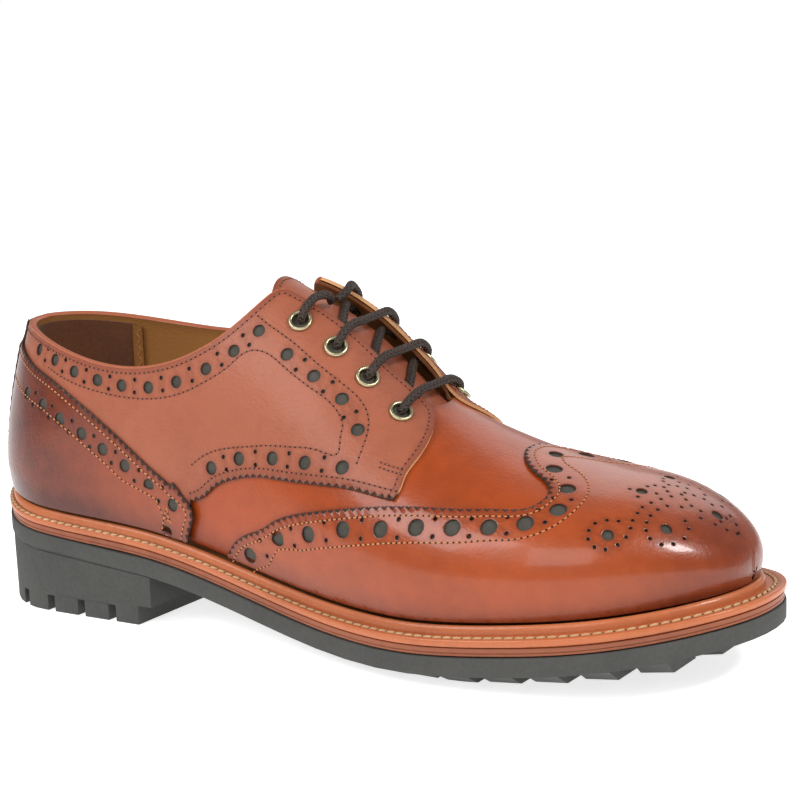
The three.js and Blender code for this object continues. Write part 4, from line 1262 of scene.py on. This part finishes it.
    def counter(self) -> None:
        """The heel counter."""
        p = self.round_heel
        half = [self.line(p, COUNTER_EDGE + COUNTER_FRONT[1:], side) for side in (LATERAL, MEDIAL)]
        whole = np.concatenate([half[0][::-1], half[1][1:]])
        border = p.shift(whole, 1.8)
        edge = pinked(p, border)
        self.frays.append(self.fray(p, border, (self.counter_top + self.overlay_top) / 2))
        u = edge[:, 0]
        foot = np.arange(u[0], u[-1], 3.0)[1:]
        outline = self.clean(np.concatenate([edge, np.stack(
            [foot, np.full(len(foot), 0.012 * SHARE_MM)], -1)[::-1]]))
        holes = []
        for side in (LATERAL, MEDIAL):
            big = self.holes(p, COUNTER_HOLES, side, 4.6)
            holes += big + row_between(p, big, self.small, 2.3)
            holes += self.holes(p, ((91.2, .034),), side, 4.6)
        panel = Panel("counter_leather", p, outline, self.counter_low, self.counter_top, holes,
                      pace=2.4, tone=self.tone)
        fit(panel.build(self.paint["overlay"]), "upper_leather", "heel_counter")
        self.backing("counter_backing", p, self.drawn_in(p, outline), self.counter_low + 0.3)
        for distance in (-0.3, -9.0):
            self.light_rows.append(Seam(p, p.shift(whole, distance), self.counter_top + 0.05))

    def collar_path(self, side: float, front: float = 131.0) -> Array:
        """The collar's edge from the heel forwards, as stations and shares."""
        x = np.concatenate([np.linspace(0, 16, 10) ** 2 / 16, np.arange(18, front, 1.6)])
        return np.stack([x, self.last.top_share(x, side)], -1)

    def top_line(self, pattern: Pattern, side: float) -> Array:
        """The collar and the facing's edge, with the corner between them rounded."""
        rows = self.collar_path(side, 168.0)
        path = pattern.pace(pattern.flat(rows[:, 0], rows[:, 1], side), 1.0)
        kernel = np.hanning(15)[1:-1]
        kernel /= kernel.sum()
        half = len(kernel) // 2
        soft = np.stack([np.convolve(path[:, i], kernel, "valid") for i in (0, 1)], -1)
        return np.concatenate([path[:half], soft, path[-half:]])

    def eyelet_holes(self, pattern: Pattern, side: float) -> list[Punch]:
        """The holes that the eyelets are set in."""
        rows = [(row * self.last.s.length, EYELET_SHARE) for row in EYELET_ROWS]
        return self.holes(pattern, rows, side, 5.6)

    def quarter(self, side: float, word: str) -> None:
        """A quarter with its facing."""
        p = self.round_heel
        top = self.top_line(p, side)
        front = self.line(p, FACING_FRONT[::-1], side)
        low = pinked(p, self.line(p, QUARTER_LOW, side)[::-1])
        under_counter = [(x, t - 0.04) for x, t in COUNTER_EDGE[:-1]] + [(96, .15), (93, .014)]
        behind = self.line(p, under_counter, side)[::-1]
        outline = np.concatenate([top, front, low[1:], behind])
        outline[0, 0] = outline[-1, 0] = side * 0.05
        holes = self.eyelet_holes(p, side)
        for rows, size in ((COLLAR_HOLES, 4.4), (FACING_HOLES, 4.6), (QUARTER_HOLES, 4.8)):
            big = self.holes(p, rows, side, size)
            holes += big + row_between(p, big, self.small, 2.2)
        outline = self.clean(outline)

        def pale(x: Array, t: Array, side: Array) -> Array:
            """The facing's and the collar's cut edges are pale, and the pinked one is dark."""
            collar = ease(t - 0.5 * ease(np.asarray(x), 150, 190), 0.30, 0.36) * ease(t, 0.40, 0.42)
            return np.maximum(collar, ease(np.asarray(x), 184, 186) * ease(t, 0.51, 0.53))

        panel = Panel(f"quarter_leather_{word}", p, outline, self.overlay_low, self.overlay_top,
                      holes, pace=2.4, tone=self.quarter_tone, pale=pale)
        fit(panel.build(self.paint["quarter"]), "upper_leather", f"quarter_{word}")
        self.backing(f"quarter_backing_{word}", p, self.drawn_in(p, outline),
                     self.overlay_low + 0.3)
        face = self.overlay_top + 0.05
        way = 1 if side < 0 else -1
        ring = np.concatenate([top[10:], front])
        self.dark_rows.append(Seam(p, p.shift(ring, way * 2.0), face))
        for rows in (INNER_SEAM, EYELET_SEAM):
            self.dark_rows.append(Seam(p, self.line(p, rows, side), face))
        edge = self.line(p, QUARTER_LOW[2:], side)
        self.dark_rows.append(Seam(p, p.shift(edge, way * -2.4), face))
        self.frays.append(self.fray(p, edge, self.overlay_top / 2 + 0.2))
        for tack in (((179.9, .577), (183.7, .588), (187.5, .599)),
                     ((180.2, .561), (184.0, .571), (187.9, .581))):
            self.dark_rows.append(Seam(p, self.line(p, tack, side), face, pitch=1.5))

    def back_strip(self) -> None:
        """The strip down the back seam."""
        p = self.round_heel
        top = float(self.last.top_share(np.zeros(1), LATERAL)[0]) * SHARE_MM
        w = np.arange(1.6, top, 1.45)
        half = 14.0 + 7.0 * (1 - w / top)
        teeth = half + 0.5 * np.where(np.arange(len(w)) % 2, 1, -1)
        outline = self.clean(np.concatenate(
            [np.stack([-teeth, w], -1), np.stack([teeth, w], -1)[::-1]]))

        def rise(x: Array, t: Array, side: Array) -> Array:
            """The strip steps down where the counter ends."""
            return -(self.counter_top - self.overlay_top) * ease(t, 0.40, 0.425)

        panel = Panel("strip_leather", p, outline, self.counter_top + 0.05, self.counter_top + 1.25,
                      pace=1.5, tone=self.tone, rise=rise)
        fit(panel.build(self.paint["overlay"]), "upper_leather", "back_strip")
        for way in (-1, 1):
            edge = np.stack([half * way, w], -1)
            top_level = self.counter_top + 0.55
            split = int(np.searchsorted(w, 0.41 * SHARE_MM))
            self.frays.append(self.fray(p, edge[:split], top_level))
            self.frays.append(self.fray(p, edge[split:], top_level - 1.0))
            self.light_rows.append(Seam(p, edge[split:] - [way * 2.0, 0], self.overlay_top + 1.3))
            self.light_rows.append(Seam(p, edge[:split] - [way * 2.0, 0],
                                        self.counter_top + 1.3))

    def fray(self, pattern: Pattern, path: Array, level: float) -> Seam:
        """The dark fibres of a pinked edge."""
        return Seam(pattern, path, level, pitch=1.45, length=1.7, width=1.5)

    def lining(self) -> None:
        """The lining, seen round the collar and under the facings."""
        p = self.round_heel
        for side, word in ((LATERAL, "lateral"), (MEDIAL, "medial")):
            top = self.top_line(p, side)
            front = self.line(p, FACING_FRONT[::-1], side)
            x = np.arange(0, 187, 3.0)[::-1]
            foot = p.flat(x, 0.02, side)
            outline = np.concatenate([top, front, foot])
            outline[0, 0] = outline[-1, 0] = 0.0
            panel = Panel(f"lining_{word}", p, self.clean(outline), -1.1, -0.02,
                          self.eyelet_holes(p, side), pace=3.0, roll=0.1, rise=self.under_vamp)
            fit(panel.build(self.paint["lining"]), "lining_leather")
        self.heel_patch()
        self.binding()

    def under_vamp(self, x: Array, t: Array, side: Array) -> Array:
        """How much deeper the lining lies where the vamp covers it."""
        stations, shares = np.array(self.vamp_edge).T
        edge = np.interp(x, stations, shares)
        return -1.1 * ease(x, 84, 92) * (1 - ease(t - edge, 0.05, 0.1))

    def heel_patch(self) -> None:
        """The suede patch inside the heel, and the tape that is sewn over its ends."""
        p = self.round_heel
        end = float(p.flat(26.0, 0.3, MEDIAL)[0])
        u = np.linspace(-end, end, 60)
        rim = self.rim_line(p, end + 3.0)
        top = np.stack([u, np.interp(u, rim[:, 0], rim[:, 1]) - 1.6], -1)
        foot = np.stack([u, np.full(60, 6.0)], -1)[::-1]
        patch = Panel("suede_patch", p, self.clean(np.concatenate([top, foot])), -1.8, -1.15,
                      pace=3.0)
        fit(patch.build(self.paint["suede"]), "suede")
        for side, word in ((LATERAL, "lateral"), (MEDIAL, "medial")):
            height = float(top[-1, 1])
            corners = [(end - 0.5, 8.0), (end + 4.5, 8.0), (end + 3.0, height), (end - 2.0, height)]
            loop = p.pace(np.array([(side * a, b) for a, b in corners + corners[:1]]), 2.0)[:-1]
            tape = Panel(f"tape_{word}", p, self.clean(loop), -2.1, -1.85, pace=2.0)
            fit(tape.build(self.paint["lining"]), "lining_leather")
            w = np.arange(10.0, height - 1, 1.6)
            zig = np.stack([side * (end + 2.6 - 1.5 * w / height
                                    + 0.9 * np.where(np.arange(len(w)) % 2, 1, -1)), w], -1)
            self.tape_rows.append(Seam(p, zig, -2.15, pitch=1.3, length=1.4, width=0.5))

    def rim_line(self, pattern: Pattern, reach: float) -> Array:
        """The collar's edge behind, between plus and minus reach of the pattern."""
        rows = []
        for side in (LATERAL, MEDIAL):
            path = self.top_line(pattern, side)
            rows.append(path[np.abs(path[:, 0]) < reach])
        return np.concatenate([rows[0][::-1], rows[1][1:]])

    def binding(self) -> None:
        """The folded rim along the collar."""
        p = self.round_heel
        path = p.pace(self.rim_line(p, 160.0), 1.2)
        x, t, side = p.place(path)
        centre = p.lay_on(path, 0.0)
        normal = self.last.normal(x, t, side)
        run = unit(np.gradient(centre, axis=0))
        up = np.cross(run, normal)
        up *= np.sign(up[:, 2:3] + 1e-9)
        angle = np.arange(14) * 2 * np.pi / 14
        across, height = np.cos(angle), np.sin(angle)
        across = 0.25 + 1.4 * across
        height = np.where(height > 0, 0.5 * height, 1.2 * height)
        rings = centre[:, None] + normal[:, None] * across[None, :, None] + \
            up[:, None] * height[None, :, None]
        fit(finish_mesh("collar_binding", woven(rings, False), self.paint["binding"]),
            "upper_leather")

    def tongue(self) -> None:
        """The tongue under the facings."""
        p, s = self.over_foot, self.last.s
        sides = []
        for side in (LATERAL, MEDIAL):
            b = np.linspace(0, 1, 14) ** 0.8
            x = np.concatenate([121 + 9 * b * b, np.linspace(130, 192, 30)[1:]])
            reach = np.concatenate([25 * b, 25 * (1 - 0.25 * np.linspace(0, 1, 30)[1:])])
            ridge = self.last.point(x, 1.0, side)[:, 1]

            def within(t: Array) -> Array:
                """Whether a share lies within the tongue's half width."""
                return np.abs(self.last.point(x, t, side)[:, 1] - ridge) < reach

            t = np.where(reach < 0.01, 1.0, halve(within, np.full(x.shape, 0.4)))
            sides.append(p.flat(x, t, side))
        outline = self.clean(np.concatenate([sides[0], sides[1][::-1][:-1]]))
        panel = Panel("tongue_leather", p, outline, -4.5, -2.7, pace=2.6, roll=0.4, lifted=False,
                      tone=self.tone)
        fit(panel.build(self.paint["quarter"]), "tongue_leather", "tongue")
        rim = np.concatenate([sides[1][:16][::-1], sides[0][1:16]])
        self.dark_rows.append(Seam(p, p.shift(rim, 2.2), -2.65, lifted=False))

    def build(self) -> None:
        """Makes every leather piece and sews it."""
        self.vamp()
        self.wing_cap()
        self.counter()
        self.quarter(LATERAL, "lateral")
        self.quarter(MEDIAL, "medial")
        self.back_strip()
        self.lining()
        self.tongue()
        sew("light_stitches", self.light_rows, self.paint["thread_light"], self.paint["needle"])
        sew("dark_stitches", self.dark_rows, self.paint["thread_dark"], self.paint["needle"])
        sew("tape_stitches", self.tape_rows, self.paint["thread_light"], None)
        sew("pinked_edges", self.frays, self.paint["fray"], None)


@dataclass
class Bottom:
    """Welt, midsole, outsole, heel and insole."""
    last: Last
    paint: dict[str, bpy.types.Material]
    stations: int = 130
    lug_share: float = 0.82

    def trip(self) -> tuple[Array, Array]:
        """Shares and sides once round the shoe."""
        s = (1 - np.cos(np.pi * np.linspace(0, 1, self.stations))) / 2
        share = np.concatenate([s, s[1:-1][::-1]])
        side = np.concatenate([np.full(len(s), LATERAL), np.full(len(s) - 2, MEDIAL)])
        return share, side

    def ring(self, name: str, profile: Sequence[tuple[float, float]], base: float,
             material: bpy.types.Material, slot: str, node_name: str) -> None:
        """A band round the sole: profile gives insets and heights above a level of the sole."""
        share, side = self.trip()
        rings = []
        for inset, height in profile:
            plan = self.last.sole_point(share, side, inset)
            rings.append(np.concatenate(
                [plan, (self.last.side_top(plan[:, 0]) + base + height)[:, None]], -1))
        fit(finish_mesh(name, woven(np.stack(rings, 1), True), material), slot, node_name)

    def welt(self) -> None:
        """The welt with its bead, its stitched channel and its stitches."""
        s = self.last.s
        share, side = self.trip()
        inner = self.last.feather_point(share, side, np.full(share.shape, s.gap))
        outer = self.last.sole_point(share, side)
        breadth = np.linalg.norm(outer - inner, axis=1)
        width = np.minimum(3.4, breadth * 0.62)
        channel = width + 0.45 * (breadth - width)
        half = np.minimum(0.8, 0.3 * (breadth - width))

        def at(distance: Array, height: Array) -> Array:
            """Points between the feather line and the sole's edge."""
            plan = inner + (outer - inner) * (distance / breadth)[:, None]
            lift = self.last.side_top(plan[:, 0]) + s.gap * 2 + s.midsole + height
            return np.concatenate([plan, lift[:, None]], -1)

        top = s.welt
        columns = [at(0 * width, 0.0), at(breadth - 0.5, 0.0), at(breadth, 0.5),
                   at(breadth, top - 0.6), at(breadth - 0.25, top - 0.15), at(breadth - 0.6, top),
                   at(channel + half, top), at(channel + half * 0.5, top - 0.5),
                   at(channel - half * 0.5, top - 0.5), at(channel - half, top)]
        for angle in np.linspace(0.0, 1.0, 9) * np.pi * 0.78:
            columns.append(at(width * (0.5 + 0.5 * np.cos(angle)),
                              top + (s.bead - 0.6) * np.sin(angle) ** 0.8))
        rings = np.stack(columns, 1)
        fit(finish_mesh("welt_bead", woven(rings, True), self.paint["welt"], 50), "welt_leather",
            "welt")
        line = at(channel, np.full(share.shape, top - 0.15))
        run = np.concatenate([[0], np.cumsum(np.linalg.norm(np.diff(line, axis=0), axis=1))])
        count = round(run[-1] / 3.5)
        marks = (np.arange(count) + 0.5) * run[-1] / count
        place = np.stack([np.interp(marks, run, line[:, i]) for i in range(3)], -1)
        ahead = np.stack([np.interp(marks + 0.5, run, line[:, i]) for i in range(3)], -1)
        way = unit(ahead - place)
        up = np.broadcast_to(np.array([0.0, 0, 1.0]), way.shape)
        across = unit(np.cross(up, way))
        slant = unit(way + across * 0.22)
        frames = np.stack([slant * 1.65, np.cross(up, slant) * 0.68, up * 0.62, place], -1)
        fit(stamp("welt_stitches", grain(8, 6), frames, self.paint["thread_cream"]), "thread")
        between = np.stack([np.interp(marks + 0.5 * run[-1] / count, run, line[:, i])
                            for i in range(3)], -1)
        # Painted shade: near-black dots between the stitches stand in for the needle holes.
        frames = np.stack([way * 0.5, across * 0.85, up * 0.3, between - up * 0.1], -1)
        fit(stamp("welt_needle_holes", ball(6, 4), frames, self.paint["needle"]), "thread")

    def solid(self, name: str, node_name: str, material: bpy.types.Material, slot: str,
              round_: float) -> None:
        """A CAD solid, merged, with its edges rounded."""
        bm = bmesh.new()
        bm.from_mesh(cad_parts[node_name].data)
        bmesh.ops.remove_doubles(bm, verts=bm.verts, dist=2e-6)
        for vert in bm.verts:
            x = vert.co.x * 1000 + HEEL_CENTRE
            if node_name == "outsole" and vert.co.z * 1000 < self.last.edge(x) - 0.5:
                middle = float(self.last.centre(np.array(x))) * 0.001
                vert.co.y = middle + (vert.co.y - middle) * self.lug_share
        bmesh.ops.dissolve_limit(bm, angle_limit=math.radians(2), verts=bm.verts, edges=bm.edges)
        hard = [e for e in bm.edges if e.is_manifold and e.calc_face_angle(0) > math.radians(40)]
        bmesh.ops.bevel(bm, geom=hard, offset=round_ * 0.001, offset_type="OFFSET", segments=2,
                        profile=0.5, affect="EDGES", material=-1, clamp_overlap=True)
        fit(finish_mesh(name, bm, material, 35), slot, node_name)

    def build(self) -> None:
        """Makes the bottom from the welt down."""
        s = self.last.s
        self.welt()
        self.ring("midsole_edge", ((14, 0), (1.0, 0), (0.6, 0.3), (0.6, 0.9), (0.85, 1.05),
                                   (0.85, 1.2), (0.6, 1.35), (0.6, 2.6), (1.0, 2.9),
                                   (14, 2.9)), s.gap,
                  self.paint["midsole"], "midsole_leather", "midsole")
        self.solid("outsole_rubber", "outsole", self.paint["rubber"], "rubber", 0.7)
        self.solid("heel_rubber", "heel", self.paint["rubber"], "rubber", 0.7)
        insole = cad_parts["insole"]
        insole.data.materials.clear()
        insole.data.materials.append(self.paint["sock"])


@dataclass
class Lacing:
    """Eyelets and the lace through them."""
    last: Last
    paint: dict[str, bpy.types.Material]
    rows: tuple[float, ...] = EYELET_ROWS
    share: float = EYELET_SHARE
    face: float = 1.6
    diameter: float = 2.9

    def eyelets(self, side: float, word: str) -> None:
        """A row of eyelets, spun and set in the facing."""
        whole = bmesh.new()
        profile = [(2.75, -2.3), (2.75, 0.35), (3.0, 0.85), (3.5, 1.05), (3.95, 0.85), (4.2, 0.4),
                   (4.15, 0.05), (3.1, 0.0), (3.1, -2.3)]
        for row in self.rows:
            x = row * self.last.s.length
            bm = bmesh.new()
            verts = [bm.verts.new((r, 0, z)) for r, z in profile]
            edges = [bm.edges.new((a, b)) for a, b in zip(verts, verts[1:] + verts[:1])]
            bmesh.ops.spin(bm, geom=verts + edges, cent=(0, 0, 0), axis=(0, 0, 1),
                           angle=2 * math.pi, steps=32, use_merge=True)
            normal = Vector(self.last.normal(x, self.share, side))
            place = self.last.skin(x, self.share, side, self.face)
            turn = Vector((0, 0, 1)).rotation_difference(normal).to_matrix().to_4x4()
            bmesh.ops.transform(bm, verts=bm.verts, matrix=Matrix.Translation(
                metres(place)) @ turn @ Matrix.Scale(0.001, 4))
            loose = bpy.data.meshes.new("eyelet")
            bm.to_mesh(loose)
            whole.from_mesh(loose)
            bpy.data.meshes.remove(loose)
            bm.free()
        fit(finish_mesh(f"eyelets_{word}", whole, self.paint["brass"], 60), "eyelet_brass",
            *[f"eyelet_{word}_{i + 1}" for i in range(len(self.rows))])

    def rise(self, row: int, side: float) -> list[Array]:
        """The lace's way out of an eyelet to the edge of its facing."""
        x, t = self.rows[row] * self.last.s.length, self.share
        level = self.face + self.diameter / 2 + 0.15
        edge = float(self.last.top_share(np.array([x]), side)[0])
        way = [(t + 0.004, -1.6), (t + 0.010, self.face + 0.2), (t + 0.034, level + 0.1),
               (t + 0.07, level + 0.2), (edge - 0.004, level + 0.2)]
        return [self.last.skin(x, share, side, height) for share, height in way]

    def route(self, points: Sequence[Array], soft: int = 0) -> Array:
        """A smooth line through points in steps of half a millimetre.

        Args:
            points: The points that it passes.
            soft: Steps over which its bends are eased; 0 keeps them.

        Returns:
            The line's points.
        """
        points = np.array(points)
        chord = np.concatenate([[0], np.cumsum(np.linalg.norm(np.diff(points, axis=0), axis=1))])
        fine = np.linspace(0, chord[-1], max(8, int(chord[-1] / 0.5)))
        line = np.stack([Spline(chord, points[:, i])(fine) for i in range(3)], -1)
        if soft:
            kernel = np.hanning(2 * soft + 1)[1:-1]
            wide = np.pad(line, ((soft - 1, soft - 1), (0, 0)), mode="reflect",
                          reflect_type="odd")
            line = np.stack([np.convolve(wide[:, i], kernel / kernel.sum(), "valid")
                             for i in range(3)], -1)
        return line

    def frames(self, line: Array) -> tuple[Array, Array, Array]:
        """Directions along a line and two across it."""
        run = unit(np.gradient(line, axis=0))
        side = unit(np.cross(run, np.array([0.3, 0.1, 1.0])))
        return run, side, np.cross(run, side)

    def lace(self, name: str, lines: Sequence[Array], nodes: Sequence[str]) -> None:
        """Round waxed lace along lines: a core and the plaits over it."""
        plaits = []
        core = bmesh.new()
        radius = self.diameter / 2
        for line in lines:
            run, a, b = self.frames(line)
            angle = (np.arange(10) * 2 * np.pi / 10)[None, :, None]
            rings = line[:, None] + radius * 0.86 * (
                a[:, None] * np.cos(angle) + b[:, None] * np.sin(angle))
            part = woven(rings[::2] if len(rings) > 12 else rings, False)
            loose = bpy.data.meshes.new("core")
            part.to_mesh(loose)
            core.from_mesh(loose)
            bpy.data.meshes.remove(loose)
            part.free()
            length = np.linalg.norm(np.diff(line, axis=0), axis=1).sum()
            count, around = int(length / 0.95), 8
            at = np.linspace(0.3, len(line) - 1.3, count)
            for k in range(count):
                i = int(at[k])
                for m in range(around):
                    turn = 2 * math.pi * (m + 0.5 * (k % 2)) / around
                    out = a[i] * math.cos(turn) + b[i] * math.sin(turn)
                    over = np.cross(run[i], out)
                    slant = unit(run[i] + over * (0.75 if m % 2 else -0.75))
                    plaits.append(np.stack([slant * 1.0, np.cross(out, slant) * 0.46, out * 0.3,
                                            line[i] + out * radius * 0.86], -1))
        fit(finish_mesh(f"{name}_core", core, self.paint["braid"]), "lace_braid", *nodes)
        fit(stamp(f"{name}_plaits", grain(6, 4), np.array(plaits), self.paint["braid"]), "lace_braid")

    def build(self) -> None:
        """Makes the eyelets, the bars, the top ends and the crossings below."""
        for side, word in ((LATERAL, "lateral"), (MEDIAL, "medial")):
            self.eyelets(side, word)
        bars = []
        for row in (1, 2, 3):
            near, far = self.rise(row, LATERAL), self.rise(row, MEDIAL)
            across = [near[-1] + (far[-1] - near[-1]) * share for share in (0.25, 0.5, 0.75)]
            bars.append(self.route(near + across + far[::-1], 9))
        self.lace("lace_bars", bars, [f"lace_bar_{row + 1}" for row in (1, 2, 3)])
        ends = []
        for side in (LATERAL, MEDIAL):
            x = self.rows[0] * self.last.s.length
            way = self.rise(0, side)
            fall = [self.last.skin(x + 2.5, 1.0, side, level, False) + [0, side * shift, 0]
                    for level, shift in ((2.6, 6.0), (-0.6, 2.0))]
            ends.append(self.route(way + fall, 6))
        self.lace("lace_ends", ends, ["lace_top_lateral", "lace_top_medial"])
        below = []
        for row in (0, 1, 2):
            a, b = (self.rows[i] * self.last.s.length for i in (row, row + 1))
            for side in (LATERAL, MEDIAL):
                points = [self.last.skin(a + (b - a) * share, 1.0 - abs(share - 0.5) * 0.36,
                                         side if share < 0.5 else -side, -1.2, False)
                          for share in np.linspace(0.05, 0.95, 9)]
                below.append(self.route(points))
        self.lace("lace_below", below[1::2], [])


@dataclass
class Studio:
    """Floor, lights and the camera at the photograph's angle."""
    azimuth: float = 34.15
    elevation: float = 13.261
    roll: float = -2.408
    distance: float = 0.6974
    focal: float = 2006.34 / 800 * 36
    shift: tuple[float, float] = (0.048, 0.107)
    target: tuple[float, float, float] = (0.112, 0.0, 0.05)
    floor_glow: float = 0.74
    ambient: float = 0.3

    def light(self, name: str, place: tuple, size: float, power: float, aim: tuple) -> None:
        """A soft box aimed at a point."""
        lamp = bpy.data.lights.new(name, "AREA")
        lamp.shape, lamp.size, lamp.energy = "SQUARE", size, power
        box = bpy.data.objects.new(name, lamp)
        box.location = place
        box.rotation_euler = (Vector(aim) - Vector(place)).to_track_quat("-Z", "Y").to_euler()
        bpy.context.scene.collection.objects.link(box)

    def camera(self) -> None:
        """The photograph's camera, from its calibration."""
        lens = bpy.data.cameras.new("camera")
        lens.sensor_width, lens.lens = 36.0, self.focal
        lens.shift_x, lens.shift_y = self.shift
        lens.clip_start = 0.05
        az, el = math.radians(self.azimuth), math.radians(self.elevation)
        back = Vector((math.cos(el) * math.sin(az), -math.cos(el) * math.cos(az), math.sin(el)))
        camera = bpy.data.objects.new("camera", lens)
        camera.location = Vector(self.target) + back * self.distance
        turn = (-back).to_track_quat("-Z", "Y")
        camera.rotation_euler = (turn.to_matrix() @ Matrix.Rotation(
            math.radians(self.roll), 3, "Z")).to_euler()
        bpy.context.scene.collection.objects.link(camera)
        bpy.context.scene.camera = camera

    def floor(self) -> None:
        """A pale floor."""
        bm = bmesh.new()
        bmesh.ops.create_grid(bm, x_segments=2, y_segments=2, size=40.0)
        bmesh.ops.translate(bm, verts=bm.verts, vec=(0, 0, -0.0002))
        material, tree, shader, place = start_material("pale_floor")
        speck = node(tree, "ShaderNodeTexNoise", {"Vector": place, "Scale": 2.0}).outputs[0]
        tree.links.new(mix(tree, speck, (0.84, 0.84, 0.84, 1), (0.88, 0.88, 0.88, 1)),
                       shader.inputs["Base Color"])
        shader.inputs["Roughness"].default_value = 0.9
        shader.inputs["Specular IOR Level"].default_value = 0.1
        shader.inputs["Emission Color"].default_value = (1, 1, 1, 1)
        shader.inputs["Emission Strength"].default_value = self.floor_glow
        finish_mesh("floor", bm, material)

    def build(self) -> None:
        """Sets the scene."""
        world = bpy.data.worlds.new("studio")
        world.use_nodes = True
        tree = world.node_tree
        seen = tree.nodes["Background"]
        seen.inputs[1].default_value = 1.0
        soft = node(tree, "ShaderNodeBackground", {"Color": (1, 1, 1, 1), "Strength": self.ambient})
        seen.inputs[0].default_value = (1, 1, 1, 1)
        path = node(tree, "ShaderNodeLightPath").outputs["Is Camera Ray"]
        both = node(tree, "ShaderNodeMixShader", {0: path, 1: soft.outputs[0], 2: seen.outputs[0]})
        tree.links.new(both.outputs[0], tree.nodes["World Output"].inputs[0])
        bpy.context.scene.world = world
        bpy.context.scene.view_settings.view_transform = "Standard"
        self.floor()
        self.light("key", (-0.35, -0.75, 0.8), 0.55, 7.0, (0.1, 0, 0.05))
        self.light("front", (0.95, -0.02, 0.85), 0.26, 8.0, (0.2, 0, 0.05))
        self.light("side", (0.35, -0.95, 0.75), 0.6, 4.0, (0.12, 0, 0.05))
        self.light("back", (-0.1, 1.0, 0.7), 0.8, 2.6, (0.1, 0, 0.05))
        self.camera()


def main() -> None:
    """Builds the dressed shoe."""
    logging.basicConfig(level=logging.INFO, format="%(name)s %(message)s")
    last = Last(LastSizes())
    paint = Finishes().make()
    Uppers(last, paint).build()
    Bottom(last, paint).build()
    Lacing(last, paint).build()
    Studio().build()


if __name__ == "__main__":
    main()
